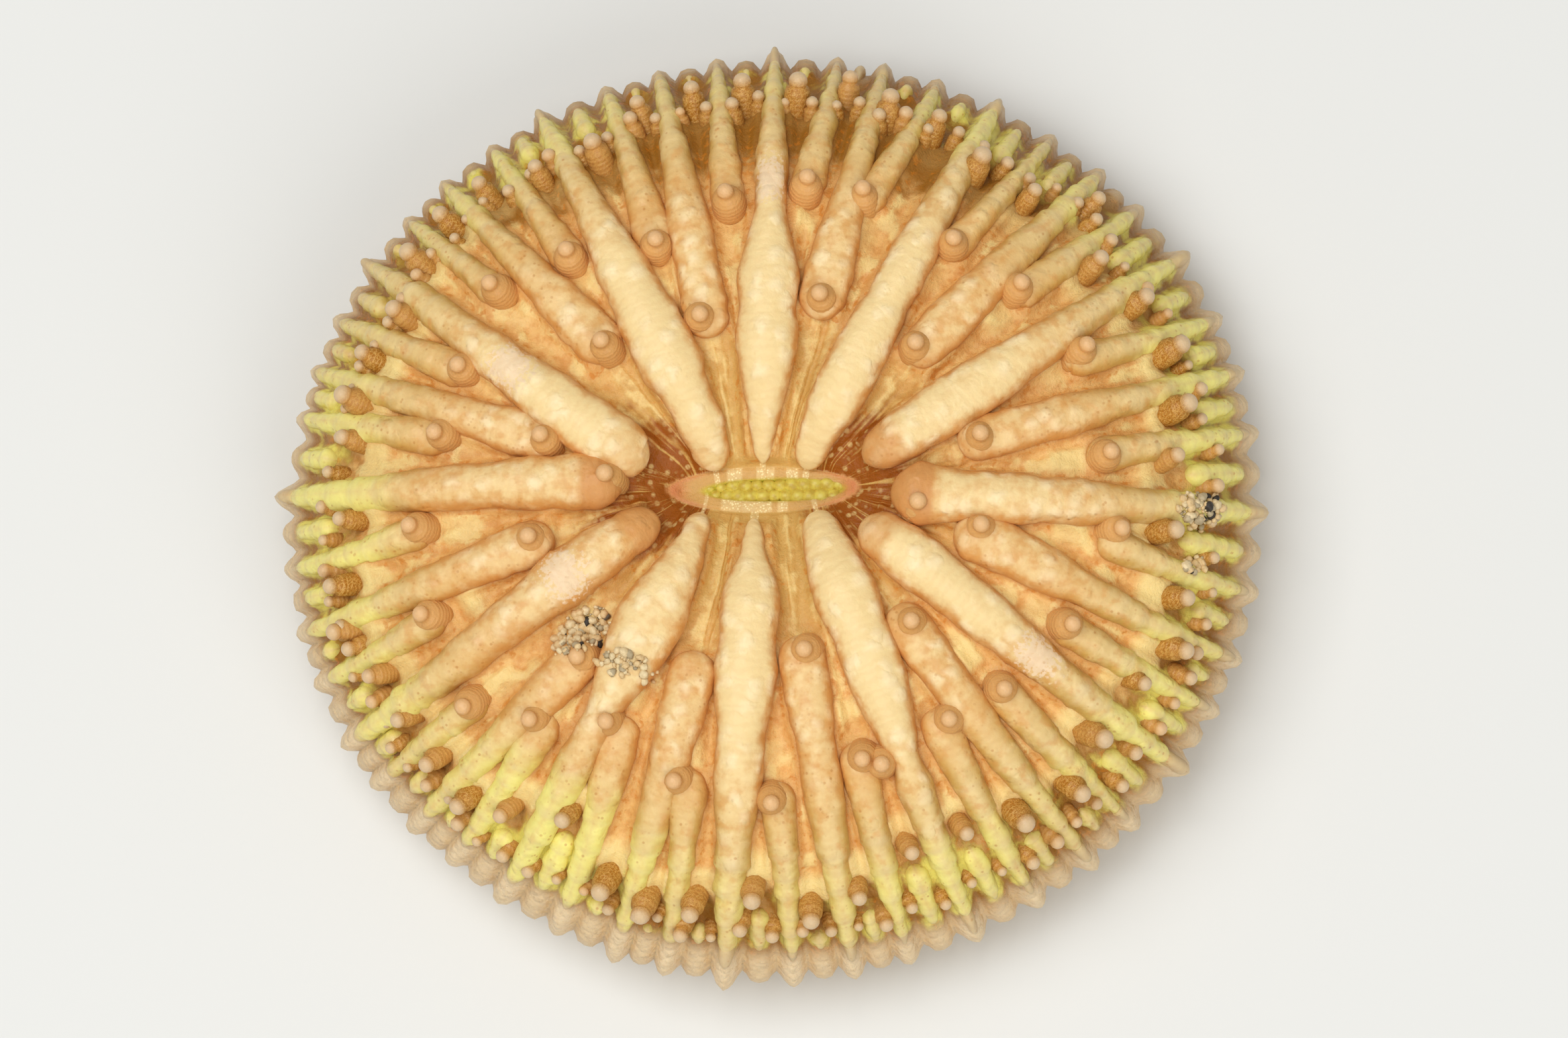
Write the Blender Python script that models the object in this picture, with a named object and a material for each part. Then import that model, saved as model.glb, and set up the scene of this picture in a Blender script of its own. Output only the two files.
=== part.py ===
"""A small living mushroom coral at its real size, standing on its flat underside.

The body is one grown piece: a domed disc whose ridges (septa) fan out from a slit mouth and end
as teeth round the rim, with a short tentacle at the inner end of each lesser ridge. Four clumps
of sand grains lie on the flesh as pieces of their own.

Places on the disc are given as a turn, in degrees anticlockwise round the mouth from +X, and a
reach, the distance out from the slit. Lines of one turn are hyperbolas, as real septa are: they
leave the slit side by side and part towards the rim. They were read in a view that leans a few
degrees from the vertical, which turns the rim a little against the mouth; upright() undoes that.
"""

import math
from typing import NamedTuple

import bmesh
import bpy
from mathutils import Matrix, Vector, noise

MM = 0.001

# The disc
HALF_LENGTH = 17.0 * MM  # middle of the disc to the tips of the rim's teeth, along X
HALF_WIDTH = 16.2 * MM  # the same along Y
TOOTH_ALLOWANCE = 0.75 * MM  # how far the teeth stand out past the flesh between them
OUTLINE_MIDDLE = Vector((-0.02 * MM, -0.02 * MM))  # evens out the teeth on opposite sides
RIM_HEIGHT = 2.4 * MM  # base to the widest line of the disc
DOME_HEIGHT = 6.2 * MM  # widest line to the top of the flesh between the ridges
BASE_SHARE = 0.82  # flat part of the underside, as a share of the way to the rim
RIM_SEEN_SHIFT = Vector((0.23 * MM, -0.62 * MM))  # of the rim against the mouth, in that view

# The mouth
SLIT_FOCUS = 2.75 * MM  # half the length of the line that the septa fan out from
FOSSA_DEPTH = 1.1 * MM  # the hollow that the mouth lies in
FOSSA_REACH = 2.4 * MM
THROAT_DEPTH = 0.5 * MM  # the slit itself, below that hollow
LIP_REACH = 0.8 * MM

# The mesh of the disc: columns follow the septa and the valleys between them
COLUMNS_PER_SEPTUM = 2
UPPER_SHARES = (
    0.022, 0.05, 0.10, 0.155, 0.215, 0.28, 0.35, 0.425, 0.50,
    0.575, 0.65, 0.73, 0.80, 0.86, 0.91, 0.955, 1.0,
)
LOWER_LEVELS = (125.0, 180.0)  # degrees round the rim's lower quarter, ending on the base
COARSE_ROWS = 7  # rows nearest the mouth that keep every other column


class Cycle(NamedTuple):
    """The sizes that the ridges of one cycle share, in metres."""

    half_width: float
    height: float
    tooth: float
    bud_radius: float


MAIN = Cycle(0.92 * MM, 1.30 * MM, 0.85 * MM, 0.0)
THIRD = Cycle(0.80 * MM, 1.10 * MM, 0.75 * MM, 0.42 * MM)
FOURTH = Cycle(0.68 * MM, 0.92 * MM, 0.70 * MM, 0.38 * MM)
FIFTH = Cycle(0.46 * MM, 0.60 * MM, 0.55 * MM, 0.40 * MM)
RIM_HALF_WIDTH = 0.40 * MM  # every ridge narrows to this at the rim
NARROWS_FROM = 0.70  # share of the way out from which a ridge narrows
SINKS_FROM = 0.60  # share of the way out from which it sinks to its tooth's height
END_ROUNDING = 1.1  # length of a ridge's rounded inner end, in half widths


class Ridge(NamedTuple):
    """One septum: its turn at the rim and at its inner end, and how far out that end is."""

    rim_turn: float
    inner_turn: float
    inner_reach: float
    cycle: Cycle


# Turn read at the rim, turn at the inner end, reach of the inner end in millimetres
MAIN_RIDGES = (
    (-3.0, -1.5, 3.9), (29.5, 24.0, 3.0), (59.5, 57.0, 0.9), (88.5, 89.0, 1.0),
    (119.5, 123.0, 1.0), (148.5, 159.0, 3.4), (179.5, 173.7, 4.1), (211.0, 197.5, 3.2),
    (237.5, 226.0, 1.3), (265.5, 265.0, 1.1), (295.0, 310.5, 1.2), (325.5, 335.8, 3.2),
)
THIRD_RIDGES = (
    (14.0, 14.5, 6.4), (44.0, 44.0, 6.5), (74.5, 74.5, 6.2), (103.5, 105.5, 5.7),
    (134.5, 134.5, 6.6), (163.5, 164.0, 6.7), (196.5, 191.5, 6.6), (224.0, 223.5, 7.9),
    (252.5, 250.0, 5.9), (280.5, 282.0, 5.5), (310.5, 315.5, 5.9), (339.5, 347.5, 6.3),
)
FOURTH_RIDGES = (
    (6.5, 6.3, 10.1), (21.0, 22.8, 10.3), (37.5, 38.5, 10.0), (51.5, 53.0, 9.6),
    (67.5, 69.0, 9.8), (80.5, 82.0, 10.3), (96.0, 96.5, 9.9), (110.5, 111.5, 9.1),
    (127.0, 127.5, 10.1), (141.0, 141.0, 10.6), (156.5, 156.0, 10.4), (169.5, 168.7, 10.4),
    (188.5, 186.0, 10.5), (203.0, 201.0, 10.9), (217.0, 216.3, 11.0), (230.0, 228.0, 10.3),
    (245.0, 240.5, 9.2), (258.5, 257.0, 10.0), (273.5, 272.5, 9.8), (287.0, 289.0, 9.4),
    (303.0, 305.5, 9.6), (317.0, 319.0, 10.2), (333.0, 335.0, 10.4), (347.5, 351.0, 10.4),
)
FIFTH_INNER_SHARE = 0.87  # where a fifth-cycle ridge starts, as a share of the way to the rim

# The tentacles
BUD_SETBACK = 0.045  # from a ridge's inner end to its tentacle, as a share of the way out
BUD_SIDES = 5
BUD_TIP = 0.55  # radius of a tentacle's blunt tip, as a share of its foot's
BUD_ROOT = 0.45 * MM  # how deep a tentacle starts in the flesh
BUD_LENGTH = 0.50 * MM  # a tentacle on a third or fourth cycle ridge, above its crest
RIM_TENTACLE_LENGTH = 1.05 * MM  # one of the fifth cycle, which leans outwards
RIM_TENTACLE_LEAN = 0.8

# Sand clumps: X, Y of the middle, half length, half width, thickness, heading in degrees
SAND_CLUMPS = {
    "sand_clump_west": (-6.05 * MM, -5.10 * MM, 1.20 * MM, 0.75 * MM, 0.50 * MM, 35.0),
    "sand_clump_south": (-4.45 * MM, -6.40 * MM, 1.05 * MM, 0.45 * MM, 0.40 * MM, -15.0),
    "sand_clump_east": (14.90 * MM, -0.75 * MM, 0.75 * MM, 0.60 * MM, 0.45 * MM, 30.0),
    "sand_clump_southeast": (14.70 * MM, -2.60 * MM, 0.42 * MM, 0.38 * MM, 0.40 * MM, 0.0),
}
SAND_GAP = 0.30 * MM
SAND_REST = 0.60 * MM  # flesh this near a place holds the clump up there
SAND_REST_RAYS = 8
LUMP_SIZE = 0.3  # how far the lumps depart from a round clump, as a share of its radius
LUMP_PITCH = 1.9  # how close together they are


def disc_point(turn, reach):
    """The X, Y place at a turn in degrees and a reach in metres from the slit."""
    angle = math.radians(turn)
    return Vector((math.hypot(reach, SLIT_FOCUS) * math.cos(angle), reach * math.sin(angle)))


def upright(turn):
    """The true turn of a place on the rim, from the turn read in the leaning view."""
    angle = math.radians(turn)
    aside = Vector((-math.sin(angle), math.cos(angle))).dot(RIM_SEEN_SHIFT)
    return turn - math.degrees(aside / HALF_WIDTH)


def along(share, start):
    """How far a share has gone from a starting share to the rim, from 0 to 1."""
    return min(max((share - start) / (1 - start), 0.0), 1.0)


def rim_reach(turn):
    """The reach at which the flesh between two teeth meets the rim, found by halving."""
    inside, outside = 0.0, 2 * HALF_LENGTH
    while outside - inside > 0.001 * MM:
        reach = (inside + outside) / 2
        place = disc_point(turn, reach) - OUTLINE_MIDDLE
        across = place.x / (HALF_LENGTH - TOOTH_ALLOWANCE)
        up = place.y / (HALF_WIDTH - TOOTH_ALLOWANCE)
        if math.hypot(across, up) < 1:
            inside = reach
        else:
            outside = reach
    return inside


RIM_REACHES = [rim_reach(turn) for turn in range(360)]


def rim_reach_at(turn):
    """The rim's reach at any turn, between the two whole degrees beside it."""
    low = math.floor(turn)
    part = turn - low
    return RIM_REACHES[low % 360] * (1 - part) + RIM_REACHES[(low + 1) % 360] * part


def rise(share):
    """How far the flesh between the ridges stands above the rim's widest line."""
    return DOME_HEIGHT * math.sqrt(1 - min(share, 1.0) ** 4)


def main_turn(index, share):
    """The turn of main ridge number index (which may run past 0 or 11) at a share of its reach."""
    seen_turn, inner_turn, inner_mm = MAIN_RIDGES[index % 12]
    rim_turn = upright(seen_turn)
    start = inner_mm * MM / rim_reach_at(rim_turn)
    left = 1 - along(share, start)
    return rim_turn + (inner_turn - rim_turn) * left**2 + 360 * (index // 12)


def make_ridges():
    """The 96 ridges in order round the disc, main ones first in each group of eight."""
    ridges = []
    for group in range(12):
        upper = [
            (MAIN_RIDGES[group], MAIN),
            (FOURTH_RIDGES[2 * group], FOURTH),
            (THIRD_RIDGES[group], THIRD),
            (FOURTH_RIDGES[2 * group + 1], FOURTH),
        ]
        for (rim_turn, inner_turn, inner_mm), cycle in upper:
            ridges.append(Ridge(upright(rim_turn), inner_turn, inner_mm * MM, cycle))
            ridges.append(None)
    for index in range(1, len(ridges), 2):
        before, after = ridges[index - 1], ridges[(index + 1) % len(ridges)]
        wrap = 360 if index + 1 == len(ridges) else 0
        turn = (before.rim_turn + after.rim_turn + wrap) / 2
        reach = FIFTH_INNER_SHARE * rim_reach_at(turn)
        ridges[index] = Ridge(turn, turn, reach, FIFTH)
    return ridges


RIDGES = make_ridges()


def sector_part(index, turn, share):
    """How far a turn lies between the two main ridges beside ridge number index, from 0 to 1."""
    group = index // 8
    before, after = main_turn(group, share), main_turn(group + 1, share)
    return (turn - before) / (after - before)


def ridge_turn(index, share):
    """The turn of the crest line of ridge number index (0 to 96) at a share of the way out."""
    group, rank = divmod(index, 8)
    if rank == 0:
        return main_turn(group, share)
    if rank % 2:
        return (ridge_turn(index - 1, share) + ridge_turn(index + 1, share)) / 2
    ridge = RIDGES[index]
    start = ridge.inner_reach / rim_reach_at(ridge.inner_turn)
    at_rim = sector_part(index, ridge.rim_turn, 1.0)
    at_end = sector_part(index, ridge.inner_turn, start)
    left = 1 - along(share, start)
    part = at_rim + (at_end - at_rim) * left**2
    before, after = main_turn(group, share), main_turn(group + 1, share)
    return before + (after - before) * part


def slope_normal(share):
    """The outward normal of the flesh between the ridges, as (out, up)."""
    out = DOME_HEIGHT * share**2
    up = HALF_WIDTH * rise(share) / DOME_HEIGHT / (2 * max(share, 0.01))
    return Vector((out, up)).normalized()


def fossa(reach):
    """How far the flesh near the mouth sinks below the dome."""
    return FOSSA_DEPTH * math.exp(-((reach / FOSSA_REACH) ** 2))


def outward(turn, reach):
    """The level direction in which the reach grows."""
    step = 0.01 * MM
    return (disc_point(turn, reach + step) - disc_point(turn, reach)).normalized()


def crest_height(ridge, reach, rim):
    """How high a ridge's crest stands off the flesh, rounded off at its inner end."""
    run = reach - ridge.inner_reach
    if run <= 0:
        return 0.0
    end = min(run / (END_ROUNDING * ridge.cycle.half_width), 1.0)
    rounded = math.sqrt(1 - (1 - end) ** 2)
    outer = along(reach / rim, SINKS_FROM)
    body = ridge.cycle.height * (1 - outer) + ridge.cycle.tooth * outer
    return body * rounded


def ridge_height(turn, share, nearest):
    """The height of the tallest ridge over a place, of those near ridge number nearest."""
    rim = rim_reach_at(turn)
    reach = share * rim
    spread = math.hypot(reach, SLIT_FOCUS * math.sin(math.radians(turn)))
    best = 0.0
    for index in range(nearest - 4, nearest + 5):
        ridge = RIDGES[index % len(RIDGES)]
        lap = 360 * (index // len(RIDGES))
        crest = crest_height(ridge, reach, rim)
        if crest == 0:
            continue
        centre = ridge_turn(index % len(RIDGES), share) + lap
        outer = along(share, NARROWS_FROM)
        width = ridge.cycle.half_width * (1 - outer) + RIM_HALF_WIDTH * outer
        off = math.radians(turn - centre) * spread / width
        if abs(off) < 1:
            best = max(best, crest * math.sqrt(1 - off * off))
    return best


def upper_point(turn, share, nearest):
    """A point of the upper surface, ridges and mouth included."""
    reach = share * rim_reach_at(turn)
    height = RIM_HEIGHT + rise(share) - fossa(reach)
    if reach < LIP_REACH:
        height -= THROAT_DEPTH * (1 - reach / LIP_REACH)
    normal = slope_normal(share)
    place, way = disc_point(turn, reach), outward(turn, reach)
    lift = ridge_height(turn, share, nearest)
    return Vector(
        (
            place.x + way.x * normal.x * lift,
            place.y + way.y * normal.x * lift,
            height + normal.y * lift,
        )
    )


def lower_point(turn, level, is_crest, tooth):
    """A point of the rim's lower quarter, whose ribs (costae) die away towards the base."""
    angle = math.radians(level)
    share = BASE_SHARE + (1 - BASE_SHARE) * math.sin(angle)
    place = disc_point(turn, share * rim_reach_at(turn))
    way = outward(turn, rim_reach_at(turn))
    lift = tooth * (1 + math.cos(angle)) if is_crest else 0.0
    height = RIM_HEIGHT * (1 + math.cos(angle))
    return Vector((place.x + way.x * lift, place.y + way.y * lift, height))


def column_turn(column, share):
    """The turn of a mesh column: even ones run along a crest, odd ones along a valley."""
    index, between = divmod(column, COLUMNS_PER_SEPTUM)
    turn = ridge_turn(index, share)
    if between:
        turn = (turn + ridge_turn(index + 1, share)) / 2
    return turn


def disc_vertex(column, row):
    """Where the vertex of one column and row of the disc's mesh goes."""
    upper = len(UPPER_SHARES)
    index = column // COLUMNS_PER_SEPTUM
    if row == 0:
        return upper_point(90.0, 0.0, index)
    if row <= upper:
        share = UPPER_SHARES[row - 1]
        return upper_point(column_turn(column, share), share, index)
    if row <= upper + len(LOWER_LEVELS):
        is_crest = column % COLUMNS_PER_SEPTUM == 0
        level = LOWER_LEVELS[row - upper - 1]
        return lower_point(column_turn(column, 1.0), level, is_crest, RIDGES[index].cycle.tooth)
    return Vector((0.0, 0.0, 0.0))


def make_disc():
    """The disc as a sphere's mesh of columns and rows, moved onto the coral's surface."""
    columns = COLUMNS_PER_SEPTUM * len(RIDGES)
    rows = len(UPPER_SHARES) + len(LOWER_LEVELS) + 1
    mesh = bmesh.new()
    bmesh.ops.create_uvsphere(mesh, u_segments=columns, v_segments=rows, radius=1.0)
    grid = {}
    for vertex in mesh.verts:
        turn = math.atan2(vertex.co.y, vertex.co.x) / math.tau
        column = round(turn * columns) % columns
        row = round(math.acos(max(-1.0, min(1.0, vertex.co.z))) * rows / math.pi)
        grid[vertex] = (column, row)
    for vertex, (column, row) in grid.items():
        vertex.co = disc_vertex(column, row)
    spare = [
        edge
        for edge in mesh.edges
        if max(grid[end][1] for end in edge.verts) <= COARSE_ROWS
        and all(grid[end][0] % 2 or grid[end][1] == 0 for end in edge.verts)
        and grid[edge.verts[0]][1] != grid[edge.verts[1]][1]
    ]
    bmesh.ops.dissolve_edges(mesh, edges=spare, use_verts=True)
    base = [face for face in mesh.faces if all(abs(v.co.z) < 0.001 * MM for v in face.verts)]
    bmesh.ops.dissolve_faces(mesh, faces=base)
    bmesh.ops.triangulate(mesh, faces=mesh.faces[:])
    return mesh


def bud(mesh, foot, way, radius, length):
    """Adds one tentacle: a blunt five-sided cone that leaves the flesh at foot, along way."""
    turned = way.to_track_quat("Z", "Y").to_matrix().to_4x4()
    bmesh.ops.create_cone(
        mesh,
        cap_ends=True,
        segments=BUD_SIDES,
        radius1=radius,
        radius2=BUD_TIP * radius,
        depth=length + BUD_ROOT,
        matrix=Matrix.Translation(foot + way * (length - BUD_ROOT) / 2) @ turned,
    )


def make_buds():
    """The tentacles: upright ones on the third and fourth cycles, leaning ones near the rim."""
    mesh = bmesh.new()
    for index, ridge in enumerate(RIDGES):
        if ridge.cycle is MAIN:
            continue
        start = ridge.inner_reach / rim_reach_at(ridge.inner_turn)
        near_rim = ridge.cycle is FIFTH
        share = start + (0.0 if near_rim else BUD_SETBACK)
        turn = ridge_turn(index, share)
        foot = upper_point(turn, share, index)
        out = outward(turn, share * rim_reach_at(turn))
        normal = slope_normal(share)
        lean = normal.x + (RIM_TENTACLE_LEAN if near_rim else 0.0)
        way = Vector((out.x * lean, out.y * lean, normal.y)).normalized()
        length = RIM_TENTACLE_LENGTH if near_rim else BUD_LENGTH
        bud(mesh, foot, way, ridge.cycle.bud_radius, length)
    return mesh


def flesh_top(coral, x, y):
    """The highest flesh within SAND_REST of X, Y, found by casting rays down on the coral."""
    highest = 0.0
    for step in range(SAND_REST_RAYS + 1):
        angle = math.tau * step / SAND_REST_RAYS
        out = SAND_REST if step < SAND_REST_RAYS else 0.0
        start = Vector((x + out * math.cos(angle), y + out * math.sin(angle), HALF_LENGTH))
        hit, place, _, _ = coral.ray_cast(start, Vector((0, 0, -1)))
        if hit:
            highest = max(highest, place.z)
    return highest


def make_sand(coral, x, y, half_length, half_width, thickness, heading):
    """One lumpy clump of grains, draped over the flesh with SAND_GAP under it."""
    turned = Matrix.Rotation(math.radians(heading), 3, "Z")
    mesh = bmesh.new()
    bmesh.ops.create_icosphere(mesh, subdivisions=2, radius=1.0)
    for vertex in mesh.verts:
        lumpy = 1 + LUMP_SIZE * noise.noise(vertex.co * LUMP_PITCH + Vector((x, y, 0)) / MM)
        unit = vertex.co.copy()
        level = Vector((unit.x * half_length, unit.y * half_width, 0)) * lumpy
        place = turned @ level + Vector((x, y, 0))
        rest = flesh_top(coral, place.x, place.y) + SAND_GAP
        place.z = rest + thickness * (1 + unit.z * lumpy) / 2
        vertex.co = place
    return mesh


def make_material(name, colour, roughness):
    """A plain finish of one colour."""
    material = bpy.data.materials.new(name)
    material.use_nodes = True
    shader = material.node_tree.nodes["Principled BSDF"]
    shader.inputs["Base Color"].default_value = (*colour, 1.0)
    shader.inputs["Roughness"].default_value = roughness
    return material


def add_object(name, mesh, material):
    """Stores a bmesh as a named object in the scene."""
    data = bpy.data.meshes.new(name)
    mesh.to_mesh(data)
    mesh.free()
    data.materials.append(material)
    data.shade_smooth()
    made = bpy.data.objects.new(name, data)
    bpy.context.scene.collection.objects.link(made)
    return made


def main():
    """Clears the scene and builds the coral and the sand on it."""
    for old in list(bpy.data.objects):
        bpy.data.objects.remove(old)
    flesh = make_material("coral_flesh", (0.76, 0.53, 0.27), 0.45)
    grit = make_material("sand", (0.42, 0.36, 0.24), 0.85)
    coral = add_object("coral", make_disc(), flesh)
    buds = add_object("tentacle_buds", make_buds(), flesh)
    buds.hide_render = True
    buds.display_type = "WIRE"
    union = coral.modifiers.new("tentacles", "BOOLEAN")
    union.operation = "UNION"
    union.object = buds
    graph = bpy.context.evaluated_depsgraph_get()
    for name, sizes in SAND_CLUMPS.items():
        add_object(name, make_sand(coral.evaluated_get(graph), *sizes), grit)


main()
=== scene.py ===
"""The looks of a small living mushroom coral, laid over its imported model.

The coral is a domed disc. Fleshy ridges fan out from a slit mouth in cycles of 12, 12, 24 and 48,
tentacles stand at the inner ends of the lesser ridges, and the rim ends in 96 beige teeth.

Lengths are in metres. A place on the disc is a turn, in degrees anticlockwise round the mouth
from +X, with a reach, the distance out from the slit, or a share of the way from slit to rim.
Lines of one turn are hyperbolas. Places read from the photograph are seen places: the view leans
by about 12 degrees, which shifts what stands high, and Disc.upright takes that shift out.
"""

from __future__ import annotations

import logging
import math
import random
from collections.abc import Callable, Sequence
from dataclasses import dataclass, field
from enum import Enum
from functools import cached_property

import bmesh
import bpy
import numpy as np
from mathutils import Matrix, Vector, noise
from mathutils.bvhtree import BVHTree


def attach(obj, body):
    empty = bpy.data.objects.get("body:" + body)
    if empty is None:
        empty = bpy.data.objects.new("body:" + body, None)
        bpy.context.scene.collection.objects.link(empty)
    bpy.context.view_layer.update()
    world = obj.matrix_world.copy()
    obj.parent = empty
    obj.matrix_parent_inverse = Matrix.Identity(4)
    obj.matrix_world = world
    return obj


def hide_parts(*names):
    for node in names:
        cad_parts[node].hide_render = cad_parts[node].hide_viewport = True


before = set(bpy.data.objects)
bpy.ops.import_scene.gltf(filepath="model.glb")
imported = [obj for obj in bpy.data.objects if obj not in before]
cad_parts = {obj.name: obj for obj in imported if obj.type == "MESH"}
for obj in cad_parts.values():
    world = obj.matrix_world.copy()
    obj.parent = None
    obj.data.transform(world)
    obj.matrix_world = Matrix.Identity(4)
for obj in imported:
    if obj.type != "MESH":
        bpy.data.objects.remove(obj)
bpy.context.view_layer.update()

LOG = logging.getLogger("mushroom_coral")
MM = 0.001
BODY = "root"
RIDGE_COUNT = 96

Knots = Sequence[tuple[float, float]]
Colour = tuple[float, float, float]


def blend(low: float, high: float, value: float) -> float:
    """A smooth step from 0 at low to 1 at high."""
    part = min(max((value - low) / (high - low), 0.0), 1.0)
    return part * part * (3 - 2 * part)


def top_side(turn: float) -> float:
    """How far a turn belongs to the upper edge of the seen disc, from 0 to 1."""
    return blend(0.55, 0.95, math.sin(math.radians(turn)))


def read_knots(knots: Knots, value: float) -> float:
    """The value at a place on a line drawn straight from knot to knot.

    Args:
        knots: places in order, each with its value.
        value: the place to read at.

    Returns:
        The value, which is held past both ends.
    """
    if value <= knots[0][0]:
        return knots[0][1]
    for (low, low_value), (high, high_value) in zip(knots, knots[1:]):
        if value <= high:
            part = (value - low) / (high - low)
            return low_value + (high_value - low_value) * part
    return knots[-1][1]


def srgb(red: int, green: int, blue: int) -> Colour:
    """A colour given in display values from 0 to 255, as the shader's linear values.

    Args:
        red: the red display value.
        green: the green one.
        blue: the blue one.

    Returns:
        The linear values.
    """
    def linear(level: float) -> float:
        """One channel, from its display value to its linear value."""
        return level / 12.92 if level <= 0.04045 else ((level + 0.055) / 1.055) ** 2.4

    return (linear(red / 255), linear(green / 255), linear(blue / 255))


@dataclass(frozen=True)
class Disc:
    """The smooth form under the ridges, and the grid of turns and shares that lies on it."""

    half_length: float = 17.0 * MM
    half_width: float = 16.2 * MM
    tooth_allowance: float = 0.75 * MM
    rim_height: float = 2.4 * MM
    dome_height: float = 6.2 * MM
    base_share: float = 0.82
    slit_focus: float = 2.75 * MM
    fossa_depth: float = 1.1 * MM
    fossa_reach: float = 2.4 * MM
    lip_reach: float = 0.8 * MM
    seen_mouth: tuple[float, float] = (-0.40 * MM, 1.04 * MM)
    lean: tuple[float, float] = (-0.075, 0.20)
    crest_lift: float = 1.1 * MM

    def spot(self, turn: float, reach: float) -> Vector:
        """The X, Y place at a turn and a reach.

        Args:
            turn: its turn.
            reach: its reach.

        Returns:
            The place.
        """
        angle = math.radians(turn)
        across = math.hypot(reach, self.slit_focus) * math.cos(angle)
        return Vector((across, reach * math.sin(angle)))

    def turn_and_reach(self, x: float, y: float) -> tuple[float, float]:
        """The turn and the reach of an X, Y place.

        Args:
            x: distance from the mouth along it.
            y: distance from the mouth across it.

        Returns:
            The turn in degrees from 0 to 360, and the reach.
        """
        focus = self.slit_focus
        half_sum = (math.hypot(x + focus, y) + math.hypot(x - focus, y)) / 2
        reach = math.sqrt(max(half_sum**2 - focus**2, 0.0))
        turn = math.degrees(math.acos(max(-1.0, min(1.0, x / half_sum))))
        return (turn if y >= 0 else 360 - turn), reach

    def reach_to_rim(self, turn: float, mouth: tuple[float, float]) -> float:
        """The reach at which a turn meets the rim, with the mouth at an X, Y place in it.

        Args:
            turn: the turn.
            mouth: the mouth's place, from the rim's middle.

        Returns:
            The reach, to a thousandth of a millimetre.
        """
        inside, outside = 0.0, 2 * self.half_length
        while outside - inside > 0.001 * MM:
            reach = (inside + outside) / 2
            place = self.spot(turn, reach) + Vector(mouth)
            across = place.x / (self.half_length - self.tooth_allowance)
            up = place.y / (self.half_width - self.tooth_allowance)
            if math.hypot(across, up) < 1:
                inside = reach
            else:
                outside = reach
        return inside

    @cached_property
    def rim_reaches(self) -> list[float]:
        """The rim's reach at each whole degree."""
        return [self.reach_to_rim(turn, (0.0, 0.0)) for turn in range(361)]

    @cached_property
    def seen_reaches(self) -> list[float]:
        """The rim's reach at each whole degree, as seen from the mouth in the leaning view."""
        return [self.reach_to_rim(turn, self.seen_mouth) for turn in range(361)]

    def rim(self, turn: float) -> float:
        """The rim's reach at any turn.

        Args:
            turn: the turn.

        Returns:
            The reach.
        """
        turn %= 360
        low = int(turn)
        part = turn - low
        return self.rim_reaches[low] * (1 - part) + self.rim_reaches[low + 1] * part

    def seen_rim(self, turn: float) -> float:
        """The rim's reach at any turn, as seen.

        Args:
            turn: the seen turn.

        Returns:
            The seen reach.
        """
        turn %= 360
        low = int(turn)
        part = turn - low
        return self.seen_reaches[low] * (1 - part) + self.seen_reaches[low + 1] * part

    def rise(self, share: float) -> float:
        """How far the flesh between the ridges stands above the widest line."""
        return self.dome_height * math.sqrt(1 - min(share, 1.0) ** 4)

    def upright(self, turn: float, reach: float, lift: float | None = None) -> tuple[float, float]:
        """The true place of something seen in the leaning view.

        Args:
            turn: its seen turn.
            reach: its seen reach.
            lift: how far it stands off the flesh between the ridges; a crest's if left out.

        Returns:
            Its true turn, within half a turn of the seen one, and its true share.
        """
        share = min(reach / self.seen_rim(turn), 1.0)
        if lift is None:
            lift = self.crest_lift * blend(0.0, 4.0 * MM, reach)
        high = self.floor_height(share, max(reach, self.lip_reach)) - self.rim_height + lift
        place = self.spot(turn, reach) + Vector(self.seen_mouth) - Vector(self.lean) * high
        true_turn, true_reach = self.turn_and_reach(place.x, place.y)
        true_turn += 360 * round((turn - true_turn) / 360)
        return true_turn, true_reach / self.rim(true_turn)

    def seen(self, place: Vector) -> Vector:
        """Where a place appears in the leaning view, measured level with the rim."""
        high = place.z - self.rim_height
        return Vector((place.x + self.lean[0] * high, place.y + self.lean[1] * high))

    def foot_of(
        self, turn: float, reach: float, middle: Callable[[float, float], Vector]
    ) -> tuple[float, float]:
        """The true foot of something whose middle is seen at a place.

        Args:
            turn: the seen turn of its middle.
            reach: the seen reach of its middle.
            middle: gives where its middle is, from the turn and share of its foot.

        Returns:
            The turn and the share of its foot.
        """
        wanted = self.spot(turn, reach) + Vector(self.seen_mouth)
        foot_turn, share = self.upright(turn, reach)
        for _ in range(4):
            off = wanted - self.seen(middle(foot_turn, share))
            place = self.spot(foot_turn, share * self.rim(foot_turn)) + off
            foot_turn, foot_reach = self.turn_and_reach(place.x, place.y)
            share = min(foot_reach / self.rim(foot_turn), 0.97)
        return foot_turn, share

    def floor_height(self, share: float, reach: float) -> float:
        """The height of the flesh between the ridges, with the hollow round the mouth."""
        fossa = self.fossa_depth * math.exp(-((reach / self.fossa_reach) ** 2))
        return self.rim_height + self.rise(share) - fossa

    def floor_point(self, turn: float, share: float) -> Vector:
        """A point of the flesh between the ridges.

        Args:
            turn: its turn.
            share: its share.

        Returns:
            The point.
        """
        reach = share * self.rim(turn)
        place = self.spot(turn, reach)
        return Vector((place.x, place.y, self.floor_height(share, reach)))

    def outward(self, turn: float, share: float) -> Vector:
        """The level direction in which the reach grows."""
        reach, step = share * self.rim(turn), 0.01 * MM
        return (self.spot(turn, reach + step) - self.spot(turn, reach)).normalized()

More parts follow.
